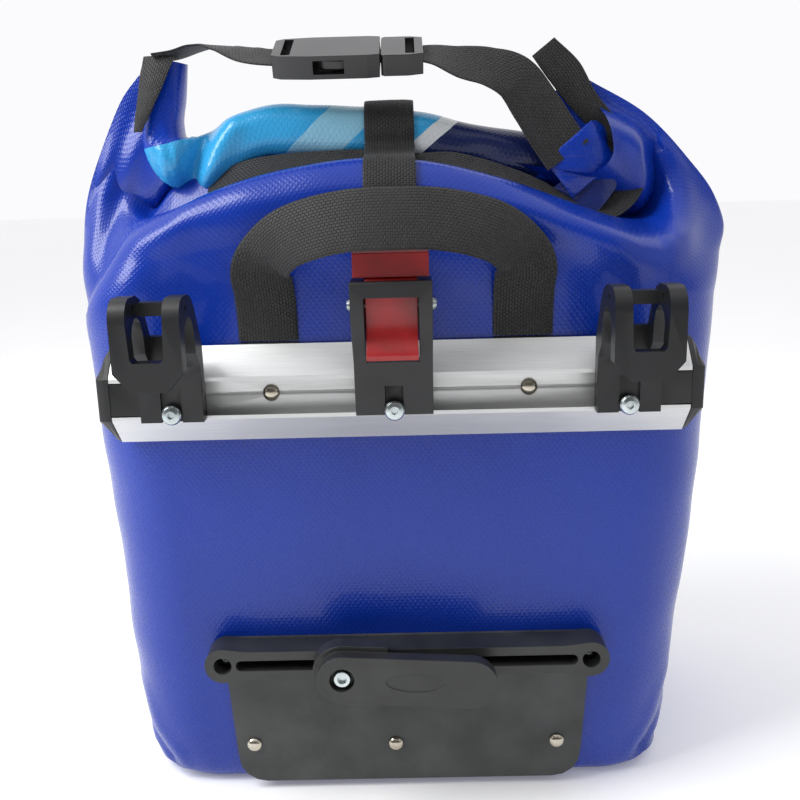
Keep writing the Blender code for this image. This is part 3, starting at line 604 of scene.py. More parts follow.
# Each row is height, half width, back, front and corner radius of the bag's level section, in millimetres.
BODY_SECTIONS = (
    (0.0, 128.0, 15.0, 151.0, 30.0), (3.0, 139.0, 9.0, 158.0, 36.0), (11.0, 144.5, 5.0, 162.0, 40.0),
    (25.0, 148.0, 2.8, 165.0, 42.0), (48.0, 150.0, 2.2, 166.0, 42.0), (80.0, 152.5, 2.2, 167.0, 42.0),
    (130.0, 156.0, 2.2, 167.0, 42.0), (180.0, 159.5, 2.2, 166.0, 42.0), (230.0, 162.0, 2.2, 163.0, 42.0),
    (262.0, 163.4, 2.2, 158.0, 40.0),
)
FOLD_Y = 54.5  # the plane of the side folds, midway through the roll
STRAP_X = -2.5  # the middle of the strap over the roll
BACK_COLUMNS, FRONT_COLUMNS = 300, 130
LEVEL_ROW, UPPER_ROW = 50, 100  # rows of the straight sides, and a third of the way from them to the roll
WING_SHARE = 0.24  # share of a panel's width, from each side, that turns into the folded wing
# The line where the cloth goes into the roll: share of its length, x, y, z.
INTO_ROLL = (
    (0.00, -129.0, 53.0, 376.0), (0.08, -122.0, 51.0, 352.0), (0.15, -112.0, 50.0, 328.0),
    (0.22, -97.0, 50.0, 327.0), (0.35, -60.0, 50.0, 339.0), (0.50, -5.0, 50.0, 338.0),
    (0.63, 45.0, 50.0, 331.0), (0.74, 80.0, 50.0, 324.0), (0.80, 98.0, 51.0, 322.0),
    (0.86, 108.0, 52.0, 330.0), (0.93, 105.0, 53.0, 350.0), (1.00, 99.0, 53.0, 368.0),
)
LEFT_FOLD = (
    (0.0, -163.4, 54.5, 262.0), (0.22, -165.0, 53.0, 287.0), (0.48, -160.5, 53.0, 318.0),
    (0.72, -147.5, 53.5, 349.0), (0.88, -138.0, 53.5, 366.0), (1.0, -129.0, 53.0, 376.0),
)
RIGHT_FOLD = (
    (0.0, 163.4, 54.5, 262.0), (0.2, 167.0, 51.0, 283.0), (0.35, 169.5, 50.0, 300.0),
    (0.42, 166.0, 50.0, 308.5), (0.6, 151.0, 51.0, 328.0), (0.8, 128.0, 52.0, 351.0),
    (1.0, 99.0, 53.0, 368.0),
)
# Height of the back panel's top fold across its width.
TOP_FOLD = (
    (-165.0, 285.0), (-120.0, 299.0), (-98.8, 308.0), (-86.0, 315.0), (-72.0, 320.5), (-43.0, 327.0),
    (-10.0, 329.5), (17.0, 326.5), (49.0, 318.0), (77.0, 307.0), (96.0, 299.0), (115.0, 291.0),
    (165.0, 285.0),
)
LEFT_CREASE = ((-112.0, 326.0), (-121.0, 312.0), (-133.0, 295.0), (-147.0, 276.0), (-162.0, 254.0))
RIGHT_BOWL = (
    (38.0, 323.0), (50.0, 317.5), (62.0, 311.0), (78.3, 302.5), (97.5, 293.5), (116.8, 286.0),
    (128.0, 284.5), (137.0, 289.5), (142.0, 300.0), (143.0, 312.0), (138.0, 330.0),
)


def half_section(share, half, fold, edge, corner):
    """Half of a rounded rectangle, from the left side's fold round the edge to the right side's:
    straight, a quarter turn, straight, a quarter turn, straight. share is the part of its length
    gone."""
    flat = np.abs(edge - fold) - corner
    turn = corner * math.pi / 2
    total = 2 * flat + 2 * turn + 2 * (half - corner)
    gone = np.minimum(share, 1 - share) * total
    angle = np.clip((gone - flat) / corner, 0, math.pi / 2)
    past = np.maximum(gone - flat - turn, 0)
    x = -half + corner * (1 - np.cos(angle)) + past
    y = np.minimum(gone, flat) + corner * np.sin(angle)
    return np.where(share > 0.5, -x, x), fold + np.sign(edge - fold) * y


def bag_half(columns, lower, upper, back):
    """Half of the bag as rows from the floor to the roll. Below, each row is half a rounded rectangle.
    Above, each column is a smooth curve through six points: up from the last section, over the top fold
    and into the roll. Near the sides it turns into the folded wing's outline. A row of steps is the
    share of the curve, the share of the way across, the depth, the drop as a share of the rise, and a
    height added."""
    share = np.linspace(0, 1, columns)
    keys = through(BODY_SECTIONS, lower)[:, None]
    half, rear, front, corner = (keys[..., k] for k in range(4))
    x, y = half_section(share[None, :], half, FOLD_Y, rear if back else front, corner)
    below = np.stack(np.broadcast_arrays(x, y, lower[:, None]), -1)
    start = below[-1]
    into = through(INTO_ROLL, share)
    top = through(TOP_FOLD, into[:, 0])[:, 0]
    rise = top - start[:, 2]
    if back:
        steps = (
            (0.3, 0.08, 2.2, -0.5, 0),
            (0.52, 0.2, 4.0, -0.14, 0),
            (0.68, 0.45, 15.0, 0, 1.5),
            (0.84, 0.8, 33.0, 0, -2.5),
        )
    else:
        steps = (
            (0.25, 0.08, 158.0, -0.5, 0),
            (0.5, 0.2, 147.0, -0.16, 0),
            (0.66, 0.45, 126.0, 0, -1),
            (0.84, 0.8, 88.0, 0, 1),
        )
    rows = [np.concatenate([[0.0], start.ravel()])]
    for at, across, depth, down, add_z in steps:
        reach = np.maximum(np.abs(start[:, 1] - FOLD_Y), 0) / np.abs(start[:, 1] - FOLD_Y).max()
        row = np.stack(
            [
                start[:, 0] * (1 - across) + into[:, 0] * across,
                FOLD_Y + (depth - FOLD_Y) * reach,
                top + down * rise + add_z,
            ],
            -1,
        )
        rows.append(np.concatenate([[at], row.ravel()]))
    rows.append(np.concatenate([[1.0], into.ravel()]))
    panel = through(np.array(rows), upper).reshape(len(upper), columns, 3)
    level = ease(upper)[:, None, None]
    wings = []
    for fold, end, pace in ((LEFT_FOLD, slice(0, 1), 1.5), (RIGHT_FOLD, slice(-1, None), 2.1)):
        settle = np.stack([1 - ease(upper * k) for k in (1.15, pace, 1.15)], -1)[:, None]
        outline = through(fold, upper)[:, None]
        wings.append(outline + (start - start[end])[None] * settle + (into - into[end])[None] * level)
    wing_l = 1 - ease(share / WING_SHARE)[None, :, None]
    wing_r = 1 - ease((1 - share) / WING_SHARE)[None, :, None]
    above = panel * (1 - wing_l - wing_r) + wings[0] * wing_l + wings[1] * wing_r
    return np.concatenate([below, above[1:]])


def valley(gap):
    """How far the cloth is set back at a signed distance from a crease: the near side rounds over to
    the line, and the far side starts well behind it and comes forward again evenly."""
    near, far = np.maximum(-gap, 0), np.maximum(gap, 0)
    lip = 2.2 * np.clip(1 - near / 7.0, 0, 1) ** 2 - 1.2 * hump(near - 13, 9.0) * (gap < 0)
    return lip + 8.5 * ease((gap + 0.6) / 3.4) * (1 - ease(far / 34.0))


def corner_tuck(x, z, side):
    """The welded tuck at a lower corner: a narrow slanted hollow beside a low ridge."""
    line = ((side * 150.0, 44.0), (side * 143.0, 26.0), (side * 131.0, 12.0))
    gap, _ = gap_to(line, x, z)
    return (2.6 * hump(gap, 3.0) - 1.6 * hump(gap - 8.0, 5.0)) * (x * side > 90)


def bag_grid():
    """Both halves of the bag, sculpted: a sharp valley on the left where the wing folds behind the back
    panel, a hollow on the right round the roll's end, and soft unevenness all over."""
    lower = np.concatenate([[0.0, 0.7, 1.6], np.linspace(BODY_SECTIONS[1][0], BODY_SECTIONS[-1][0], 62)])
    upper = np.linspace(0, 1, 112)
    halves = []
    for back, count in ((True, BACK_COLUMNS), (False, FRONT_COLUMNS)):
        share = np.linspace(0, 1, count)[None, :]
        inner = ease(np.minimum(share, 1 - share) / 0.045)
        grid = bag_half(count, lower, upper, back)
        x, y, z = grid[..., 0], grid[..., 1], grid[..., 2]
        sign = 1.0 if back else -1.0
        high = ease((z - 236) / 30)
        gap, side = gap_to(LEFT_CREASE, x, z)
        fold = valley(np.where(side > 0, gap, -gap)) * ease((-50 - x) / 25)
        rim, _ = gap_to(np.array(LEFT_FOLD)[:, [1, 3]], x, z)
        pleat = (1.7 * hump(rim - 17, 4.5) - 1.2 * hump(rim - 8, 4.5)) * (x < -100)
        pleat = pleat * ease((z - 270) / 25)
        gap, side = gap_to(RIGHT_BOWL, x, z)
        signed = np.where(side < 0, gap, -gap)
        rim, _ = gap_to(np.array(RIGHT_FOLD)[:, [1, 3]], x, z)
        depth = 19.0 * ease((x - 20) / 80)
        bowl = depth * ease(signed / 17) * ease((rim - 3) / 15) * (1 - ease((z - 348) / 14))
        lip = -3.2 * hump(signed + 5, 8) * ease((x - 30) / 40)
        sculpt = fold + pleat + (bowl + lip) * (x > 20)
        tuck = corner_tuck(x, z, -1.0) + corner_tuck(x, z, 1.0)
        panel = np.exp(-((x / 150) ** 4))
        bulge = hump(z - 150, 45) * 1.6 * panel
        off_strap = 1 - np.exp(-(((x - STRAP_X) / 30) ** 4))
        soft = 0.8 * ripple(x, z, 5 if back else 9, 120.0) * (0.25 + 0.75 * ease((z - 250) / 25) * back)
        soft = soft + (0 if back else 1.4 * ripple(x, z, 11, 150.0) * off_strap)
        y = y + sign * inner * (high * sculpt - (bulge if back else 0) + soft * ease(z / 20) + tuck)
        lean = -2.4 * (1 - ease((z - 40) / 110)) * ease(z / 12)
        x = x + lean + 0.9 * ripple(z, y, 21, 130.0) * ease(z / 30) * (1 - ease((z - 300) / 40))
        halves.append(np.stack([x, y, z], -1))
    return np.concatenate([halves[0], halves[1][:, -2:0:-1]], axis=1)


def bag_body():
    grid = bag_grid()
    around = gone(np.concatenate([grid[LEVEL_ROW], grid[LEVEL_ROW][:1]]))
    up = gone(grid[:, BACK_COLUMNS // 2])
    uv = np.stack(np.broadcast_arrays(around[None, :], up[:, None]), -1)
    obj = surface("bag_body", grid, uv, wrap=True)
    shape = bmesh.new()
    shape.from_mesh(obj.data)
    rim = [edge for edge in shape.edges if edge.is_boundary and edge.verts[0].co.z < 0.001]
    bmesh.ops.holes_fill(shape, edges=rim, sides=0)
    bmesh.ops.remove_doubles(shape, verts=[v for v in shape.verts if v.co.z > 0.30], dist=1e-6)
    bmesh.ops.recalc_face_normals(shape, faces=shape.faces)
    shape.to_mesh(obj.data)
    shape.free()
    smooth(obj, 75)
    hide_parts("bag_shell")
    return dressed(obj, pvc_tarpaulin())


# Each row is x, z, half height and half depth of the roll.
ROLL_LINE = (
    (-113.0, 382.0, 9.0, 8.0), (-115.5, 366.0, 9.5, 11.0), (-118.0, 352.0, 9.7, 12.5),
    (-118.0, 341.0, 12.0, 14.0), (-111.0, 332.5, 15.0, 14.0), (-100.5, 330.5, 15.0, 14.0),
    (-90.0, 335.5, 14.0, 14.0), (-79.0, 342.0, 13.8, 14.0), (-64.0, 346.2, 14.0, 14.0),
    (-45.0, 345.8, 14.3, 14.0), (-20.0, 344.4, 14.0, 14.0), (10.0, 341.8, 13.5, 14.0),
    (40.0, 335.5, 12.6, 13.5), (66.0, 331.5, 12.6, 12.5), (84.0, 329.5, 12.5, 11.0),
    (97.0, 331.5, 11.5, 9.0), (102.0, 341.0, 10.0, 7.0), (97.0, 354.0, 8.0, 5.0), (86.0, 366.0, 7.0, 3.4),
)


def roll_body():
    """The rolled mouth: an oval section carried along the roll's line. The section is a spiral of one
    turn, so the loose edge of the cloth makes a step along the roll. A slanted pinch crosses its left
    end."""
    line = along(ROLL_LINE, 300)
    middle = line[:, :2]
    ahead = np.gradient(middle, axis=0)
    ahead /= np.linalg.norm(ahead, axis=1, keepdims=True)
    normal = np.stack([-ahead[:, 1], ahead[:, 0]], -1)
    turn = np.linspace(0, math.tau, 84, endpoint=False)
    start = math.radians(232)
    lap = ((turn - start) % math.tau) / math.tau
    grow = 1.0 - 1.5 * (1 - ease(lap)) / 14.0
    depth = np.sign(np.cos(turn)) * np.abs(np.cos(turn)) ** 0.82 * grow
    height = np.sign(np.sin(turn)) * np.abs(np.sin(turn)) ** 0.82 * grow
    length = gone(middle)
    tall = line[:, 2:3] * height[None, :]
    deep = line[:, 3:4] * depth[None, :]
    x = middle[:, :1] + normal[:, :1] * tall
    z = middle[:, 1:] + normal[:, 1:] * tall
    y = FOLD_Y + deep
    pinch = ((-93.0, 352.0), (-97.0, 343.0), (-101.5, 332.0), (-106.0, 318.0))
    gap, _ = gap_to(pinch, x, z)
    facing = ease(-depth[None, :] + 0.5)
    dent = -7.5 * hump(gap, 4.5) + 2.2 * hump(gap - 11, 6.0)
    crumple = 1.5 * ripple(x, z * 0.7, 31, 26.0) * hump(x + 117, 16) * ease((352 - z) / 14)
    soft = 0.6 * ripple(length[:, None], turn[None, :] * 12, 33, 46.0)
    y = y - facing * (dent + crumple) - soft * facing
    z = z + 0.4 * ripple(length[:, None], turn[None, :] * 9, 35, 60.0)
    grid = np.stack(np.broadcast_arrays(x, y, z), -1)
    uv = laid_out(length, np.linspace(0, 90.0, len(turn) + 1))
    obj = smooth(outward(surface("roll_body", grid, uv, wrap=True, caps=True)), 60)
    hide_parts("roll_top")
    return dressed(obj, printed_tarpaulin())


def strap_over_roll(grid, x, lift):
    """The line of the top strap: up the middle of the back panel, over the roll and down the front
    panel, always so far outside the cloth."""
    rows = []
    for part in (grid[:, :BACK_COLUMNS], grid[:, BACK_COLUMNS:]):
        near = np.abs(part[UPPER_ROW, :, 0] - x).argmin()
        rows.append(part[:, near])
    back = rows[0][(rows[0][:, 2] > 247.5) & (rows[0][:, 1] < 20.0)][::3]
    front = rows[1][(rows[1][:, 2] > 181.0) & (rows[1][:, 1] > 72.0)][::-1][::4]
    turn = np.radians(np.linspace(196, -12, 14))
    over = np.column_stack([FOLD_Y + (14.0 + lift) * np.cos(turn), 344.2 + (14.2 + lift) * np.sin(turn)])
    back = back[:, 1:] + np.array([-lift, lift * 0.3])
    front = front[:, 1:] + np.array([lift * 0.9, lift * 0.5])
    line = np.concatenate([back, over, front])
    return np.column_stack([np.full(len(line), x), line])


def top_strap(grid):
    path = strap_over_roll(grid, STRAP_X, 1.5)
    across = np.tile([1.0, 0.0, 0.0], (len(path), 1))
    half, thick = size("strap_width") / 2, size("strap_thick")
    strap = webbing("top_strap_webbing", path, across, half, thick, count=300, seed=4)
    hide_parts("top_strap")
    dressed(strap, ribbed_webbing())


def handle_path():
    """The carry handle's middle line and cross direction: two upright legs and a crest that leans out
    over the rail."""
    legs = ((246.3, 0.95), (256.0, 0.3), (268.0, -3.0), (279.0, -9.0))
    bend = (
        (-57.5, 288.0, -15.5, 50),
        (-49.0, 295.5, -22.0, 68),
        (-36.0, 300.5, -28.0, 78),
        (-19.0, 303.8, -33.0, 85),
        (0.0, 304.5, -35.0, 90),
    )
    path = [(-61.5, y, z) for z, y in legs] + [(x, y, z) for x, z, y, _ in bend]
    turn = np.radians([0] * 4 + [row[3] for row in bend])
    across = np.column_stack([np.cos(turn), -0.45 * np.sin(turn) ** 2, -np.sin(turn)])
    path = np.array(path, float)
    path = np.concatenate([path, path[-2::-1] * [-1, 1, 1]]) + [-1.5, 0, 0]
    across = np.concatenate([across, across[-2::-1] * [-1, 1, 1]])
    return path, across


def carry_handle():
    path, across = handle_path()
    half, thick = size("handle_width") / 2, size("handle_thick")
    strap = webbing("carry_handle_webbing", path, across, half, thick, count=260, cup=0.9, seed=8)
    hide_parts("carry_handle")
    dressed(strap, ribbed_webbing(), "handle")
    for side, x in (("left", -63.0), ("right", 60.0)):
        heights = np.linspace(245.4, 203.4, 6)
        line = np.column_stack([np.full(6, x), np.full(6, 0.95), heights])
        across = np.tile([1.0, 0.0, 0.0], (6, 1))
        foot = webbing(f"handle_foot_{side}", line, across, half - 0.1, 1.1, count=40)
        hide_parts(f"handle_anchor_{side}")
        dressed(foot, ribbed_webbing())


def closure_straps():
    lean = math.radians(24.0)
    tilt = (0, math.cos(lean), math.sin(lean))
    left = (
        ((-119.0, 53.0, 383.6), (0, 1, 0.0)),
        ((-110.0, 53.0, 384.6), (0, 1, 0.0)),
        ((-100.0, 53.0, 387.4), (0, 1, 0.02)),
        ((-93.0, 52.0, 388.3), (0, 1, 0.1)),
        ((-84.0, 48.0, 386.6), (0, 1, 0.25)),
        ((-73.0, 43.5, 383.0), (0, 1, 0.42)),
        ((-66.0, 41.0, 381.2), tilt),
        ((-55.0, 40.0, 380.0), tilt),
    )
    right = (
        ((14.0, 40.0, 380.2), tilt),
        ((20.0, 39.6, 379.4), (0, 0.9, 0.5)),
        ((33.0, 39.4, 375.8), (0, 0.72, 0.7)),
        ((48.0, 40.0, 373.0), (0, 0.55, 0.83)),
        ((60.0, 40.0, 368.0), (0.3, 0.35, 0.9)),
        ((70.0, 39.0, 355.0), (0.8, 0.2, 0.6)),
        ((79.0, 37.5, 341.0), (0.86, 0.12, 0.6)),
        ((86.5, 36.0, 330.0), (0.84, 0.1, 0.64)),
    )
    for side, rows in (("left", left), ("right", right)):
        path = [row[0] for row in rows]
        across = [row[1] for row in rows]
        cup = 0.6 if side == "left" else 1.0
        half, thick = size("strap_width") / 2, size("strap_thick")
        strap = webbing(f"closure_webbing_{side}", path, across, half, thick, count=150, cup=cup, seed=14)
        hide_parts(f"closure_strap_{side}")
        dressed(strap, ribbed_webbing(), "bag" if side == "left" else None)
        if side == "right":
            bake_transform(strap)


def sheet_between(name, one, two, thick, count, lift, seed=2):
    """A thin pad of cloth between two edge lines: straight across from one to the other, its middle
    raised by lift, closed round with a rounded edge. Both lines are point rows from the same end."""
    first, second = along(one, count), along(two, count)
    share = np.linspace(0, 1, 24)
    face = first[:, None] * (1 - share)[None, :, None] + second[:, None] * share[None, :, None]
    normal = np.cross(np.gradient(face, axis=0), np.gradient(face, axis=1))
    normal /= np.maximum(np.linalg.norm(normal, axis=2, keepdims=True), 1e-9)
    crown = np.sin(share * math.pi)[None, :, None] * lift
    ends = np.sin(np.linspace(0, math.pi, count))[:, None, None] ** 0.25
    rim = np.sin(share * math.pi)[None, :, None] ** 0.35
    wave = 0.25 * ripple(face[..., 0], face[..., 2], seed, 24.0)[..., None]
    upper = face + normal * (crown + wave + thick * 0.5 * ends * rim)
    under = face + normal * (crown + wave - thick * 0.5 * ends * rim)
    grid = np.concatenate([upper, under[:, ::-1][:, 1:-1]], axis=1)
    width = np.linalg.norm(second[0] - first[0])
    uv = laid_out(gone(first), np.concatenate([share, share[::-1][1:-1], share[:1]]) * width)
    return smooth(outward(surface(name, grid, uv, wrap=True, caps=True)), 60)


def mouth_band():
    """Webbing along the bag's mouth: it shows below the roll, goes round the roll's right end and up
    behind the closure strap."""
    outer = (
        (-97.0, 36.0, 309.0),
        (-86.0, 31.0, 314.5),
        (-72.0, 28.0, 319.5),
        (-43.0, 26.5, 325.0),
        (-12.0, 26.5, 326.5),
        (12.0, 27.0, 324.5),
        (27.0, 26.0, 323.0),
        (41.0, 25.5, 318.5),
        (56.0, 25.0, 312.5),
        (73.0, 25.5, 305.0),
        (88.0, 27.0, 299.5),
        (102.0, 30.0, 297.5),
        (116.0, 35.0, 302.5),
        (125.0, 40.0, 312.0),
        (127.0, 44.0, 324.0),
        (122.5, 46.0, 336.0),
        (113.0, 47.0, 348.0),
        (102.0, 47.0, 361.0),
        (93.0, 46.5, 376.0),
        (80.5, 46.0, 387.5),
    )
    inner = (
        (-97.0, 46.0, 323.0),
        (-86.0, 43.0, 329.0),
        (-72.0, 40.0, 333.0),
        (-43.0, 38.0, 335.5),
        (-12.0, 37.5, 336.0),
        (12.0, 37.0, 333.5),
        (27.0, 37.0, 334.0),
        (41.0, 37.0, 331.0),
        (56.0, 37.5, 326.0),
        (73.0, 38.5, 319.0),
        (86.0, 40.0, 312.0),
        (97.0, 42.0, 308.5),
        (106.0, 44.0, 311.5),
        (111.0, 46.0, 318.5),
        (111.5, 48.0, 327.0),
        (107.0, 49.0, 336.0),
        (97.0, 49.0, 346.5),
        (86.0, 48.0, 358.0),
        (77.0, 47.0, 369.0),
        (69.5, 46.0, 379.0),
    )
    band = sheet_between("mouth_webbing", outer, inner, 1.8, count=260, lift=-1.0, seed=12)
    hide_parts("mouth_band")
    dressed(band, ribbed_webbing())


def end_patches():
    """Cloth pieces sewn over the strap's end on the right, and the webbing on the left end's outer
    face."""
    rows = (
        (
            "patch_blue",
            ((75.0, 36.0, 328.0), (82.0, 35.0, 319.0), (89.0, 35.5, 309.5)),
            ((98.0, 38.0, 347.0), (104.5, 38.5, 338.0), (111.5, 39.5, 328.0)),
            (size("patch_thick"), 40, 1.2),
            (pvc_tarpaulin, "tarpaulin"),
        ),
        (
            "patch_navy",
            ((80.0, 39.0, 315.0), (89.5, 37.0, 309.0), (99.0, 34.0, 299.0)),
            ((103.0, 42.0, 330.0), (111.5, 41.0, 327.0), (112.0, 40.0, 314.0)),
            (1.4, 40, 1.0),
            (navy_tarpaulin, "print"),
        ),
        (
            "ear_webbing_left",
            ((-124.5, 47.0, 384.0), (-127.5, 43.5, 368.0), (-131.0, 41.0, 347.0)),
            ((-107.5, 42.5, 383.0), (-114.5, 39.0, 368.0), (-126.0, 38.5, 347.0)),
            (size("strap_thick"), 60, 0.8),
            (ribbed_webbing, "webbing"),
        ),
    )
    for name, one, two, (thick, count, lift), (finish, slot) in rows:
        dressed(sheet_between(name, one, two, thick, count, lift), finish())


# ---------------------------------------------------------------- sizes and colours a user may change


def colour_of(name, description, code):
    return FloatVectorProperty(
        name=name, description=description, default=linear(code), subtype="COLOR", size=3, min=0.0, max=1.0
    )


class PannierLooks(bpy.types.PropertyGroup):
    """Colours of the finishes."""

    tarpaulin: colour_of("Tarpaulin", "Main blue of the coated cloth", "#0b38aa")
    tarpaulin_dark: colour_of("Tarpaulin, deep", "Deeper blue in its soft patches", "#082a8a")
    print_cyan: colour_of("Print, cyan", "Widest band of the print", "#36a0d6")
    print_pale: colour_of("Print, pale", "Pale band of the print", "#8cc4dc")
    print_white: colour_of("Print, white", "White band of the print", "#d5d9da")
    print_navy: colour_of("Print, navy", "Dark band of the print", "#14204f")
    # The webbing's two colours are painted light: a painted highlight on the crests and painted shade in the
    # hollows.
    webbing: colour_of("Webbing", "Lit crests of the webbing", "#333335")
    webbing_painted_shade: colour_of("Webbing, deep", "Hollows of the webbing", "#0a0a0b")
    nylon: colour_of("Nylon", "Black moulded pieces", "#1a1b1d")
    # Painted sheen: the black nylon of the lower bar and arm, painted greyer for the light they catch.
    nylon_painted_sheen: colour_of("Charcoal nylon", "The lower bar and arm", "#343534")
    red: colour_of("Latch red", "The latch lever", "#b11a1d")
    aluminium: colour_of("Aluminium", "The rail", "#e9e9e7")
    sheet: colour_of("Wear sheet", "The sheet behind the lower bar", "#474948")


def length_of(name, description, metres):
    length = {"default": metres, "min": 0.0, "unit": "LENGTH", "precision": 5}
    return FloatProperty(name=name, description=description, **length)


class PannierSizes(bpy.types.PropertyGroup):
    """Sizes of the soft pieces and of the softened edges of the hard ones."""

    strap_width: length_of("Strap width", "Webbing of the closure, the top strap and the tab", 0.025)
    strap_thick: length_of("Strap thickness", "The same webbing's thickness", 0.0016)
    handle_width: length_of("Handle width", "The carry handle's webbing", 0.029)
    handle_thick: length_of("Handle thickness", "The carry handle's webbing", 0.0017)
    patch_thick: length_of("Patch thickness", "The cloth pieces sewn at the roll's ends", 0.0016)
    rail_edge: length_of("Rail edge", "Rounding of the extruded rail's edges", 0.00025)
    moulded_edge: length_of("Moulded edge", "Rounding of the hooks' and latch's edges", 0.0006)
    bar_edge: length_of("Bar edge", "Rounding of the lower bar's and arm's edges", 0.0009)
    buckle_edge: length_of("Buckle edge", "Rounding of the buckle's edges", 0.002)
    screw_edge: length_of("Screw edge", "Rounding of the screws' edges", 0.00015)
    sheet_edge: length_of("Sheet edge", "Rounding of the board's and wear sheet's edges", 0.0003)


class PannierStage(bpy.types.PropertyGroup):
    """Camera and lights."""

    lens: FloatProperty(
        name="Lens", description="Focal length", default=40.63, min=10, max=200, subtype="DISTANCE_CAMERA"
    )
    distance: FloatProperty(
        name="Camera distance", description="From the rail's back face", default=0.43096, unit="LENGTH"
    )
    height: FloatProperty(
        name="Camera height", description="Above the floor", default=0.31596, unit="LENGTH"
    )
    key: FloatProperty(
        name="Key light", description="Power of the large soft light", default=13.0, unit="POWER"
    )
    fill: FloatProperty(name="Fill light", description="Power of the fill light", default=1.0, unit="POWER")
    world: FloatProperty(name="Surroundings", description="Brightness above and behind", default=1.0, min=0.0)
    glow: FloatProperty(name="Floor glow", description="Light the floor gives off", default=0.16, min=0.0)
    front: FloatProperty(
        name="Camera side", description="Brightness on the camera's side", default=0.14, min=0.0
    )



# ---------------------------------------------------------------- operators


FLOOR_HALF = 14.0  # metres
LIGHTS_AIM = (0.0, 0.0, 0.2)  # metres
CAMERA_X = 0.00462  # metres right of the bag's middle
CAMERA_TURN = (-0.011, 0.229, -0.026)  # yaw, pitch down and roll in radians


def build(*rows):
    """Refines and dresses CAD pieces: each row is node, edge size, finish, body and slot; the slot is not
    used.
    """
    for node, edge, finish, body, slot in rows:
        dressed(refined(node, edge), finish(), body)


class PANNIER_OT_bag(bpy.types.Operator):
    """Builds the tarpaulin bag and the board inside it"""

    bl_idname = "pannier.bag"
    bl_label = "Bag"

    def execute(self, context):
        bag_body()
        build(("stiffener_board", "sheet_edge", corrugated_board, "bag", "board"))
        return {"FINISHED"}


class PANNIER_OT_roll(bpy.types.Operator):
    """Builds the rolled mouth, its sewn patches and its webbing"""

    bl_idname = "pannier.roll"
    bl_label = "Rolled mouth"

    def execute(self, context):
        roll_body()
        mouth_band()
        end_patches()
        return {"FINISHED"}


class PANNIER_OT_straps(bpy.types.Operator):
    """Builds the strap over the roll, the closure straps and the carry handle"""

    bl_idname = "pannier.straps"
    bl_label = "Straps"

    def execute(self, context):
        top_strap(bag_grid())
        closure_straps()
        carry_handle()
        line = [(STRAP_X, y, z) for y, z in ((168.7, 155.4), (168.75, 140.0), (168.8, 126.0), (168.8, 114.2))]
        across = np.tile([1.0, 0.0, 0.0], (4, 1))
        half, thick = size("strap_width") / 2, size("strap_thick")
        tab = webbing("lock_tab_webbing", line, across, half, thick, count=60)
        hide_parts("lock_tab")
        dressed(tab, ribbed_webbing())
        return {"FINISHED"}


class PANNIER_OT_rail(bpy.types.Operator):
    """Builds the aluminium rail, its end caps and its rivets"""

    bl_idname = "pannier.rail"
    bl_label = "Rail"

    def execute(self, context):
        build(("mounting_rail", "rail_edge", extruded_aluminium, "bag", "alloy"))
        for side in ("left", "right"):
            build(
                (f"end_cap_{side}", "moulded_edge", moulded_nylon, "bag", "nylon"),
                (f"rail_rivet_{side}", None, nickel_plate, "bag", "nickel"),
            )
        return {"FINISHED"}


class PANNIER_OT_hooks(bpy.types.Operator):
    """Builds both hooks and their screws"""

    bl_idname = "pannier.hooks"
    bl_label = "Hooks"

    def execute(self, context):
        for side in ("left", "right"):
            build(
                (f"hook_{side}", "moulded_edge", moulded_nylon, f"{side}_hook", "nylon"),
                (f"hook_screw_{side}", "screw_edge", zinc_plate, f"{side}_hook", "zinc"),
            )
        return {"FINISHED"}


class PANNIER_OT_latch(bpy.types.Operator):
    """Builds the middle latch: its frame, red lever, pin and screw"""

    bl_idname = "pannier.latch"
    bl_label = "Latch"

    def execute(self, context):
        build(
            ("latch_body", "moulded_edge", moulded_nylon, "latch", "nylon"),
            ("latch_lever", "moulded_edge", red_acetal, "lever", "red"),
            ("latch_pin", "screw_edge", zinc_plate, "latch", "nickel"),
            ("latch_screw", "screw_edge", zinc_plate, "latch", "zinc"),
        )
        return {"FINISHED"}


class PANNIER_OT_lower(bpy.types.Operator):
    """Builds the lower bar, the swinging arm, the wear sheet and their fixings"""

    bl_idname = "pannier.lower"
    bl_label = "Lower bar and arm"

    def execute(self, context):
        build(
            # The lower bar and arm take the black nylon painted greyer, as painted sheen.
            ("lower_bar", "bar_edge", sheen_painted_nylon, "bag", "nylon"),
            ("swing_arm", "bar_edge", sheen_painted_nylon, "arm", "nylon"),
            ("wear_panel", "sheet_edge", plastic_sheet, "bag", "sheet"),
            ("arm_bolt", "screw_edge", zinc_plate, "carriage", "zinc"),
            ("arm_nut", "screw_edge", zinc_plate, "carriage", "zinc"),
            ("bar_screw_left", "screw_edge", zinc_plate, "bag", "zinc"),
            ("bar_screw_right", "screw_edge", zinc_plate, "bag", "zinc"),
            ("panel_rivet_1", "screw_edge", nickel_plate, "bag", "nickel"),
            ("panel_rivet_2", "screw_edge", nickel_plate, "bag", "nickel"),
            ("panel_rivet_3", "screw_edge", nickel_plate, "bag", "nickel"),
        )
        return {"FINISHED"}


class PANNIER_OT_buckles(bpy.types.Operator):
    """Builds the side-release buckle and the ladder lock"""

    bl_idname = "pannier.buckles"
    bl_label = "Buckles"

    def execute(self, context):
        for node, body in (
            ("buckle_socket", "bag"),
            ("buckle_plug", "plug"),
            ("buckle_prong_upper", "prong_upper"),
            ("buckle_prong_lower", "prong_lower"),
            ("ladder_lock", "bag"),
        ):
            build((node, "buckle_edge", moulded_acetal, body, "nylon"))
        return {"FINISHED"}


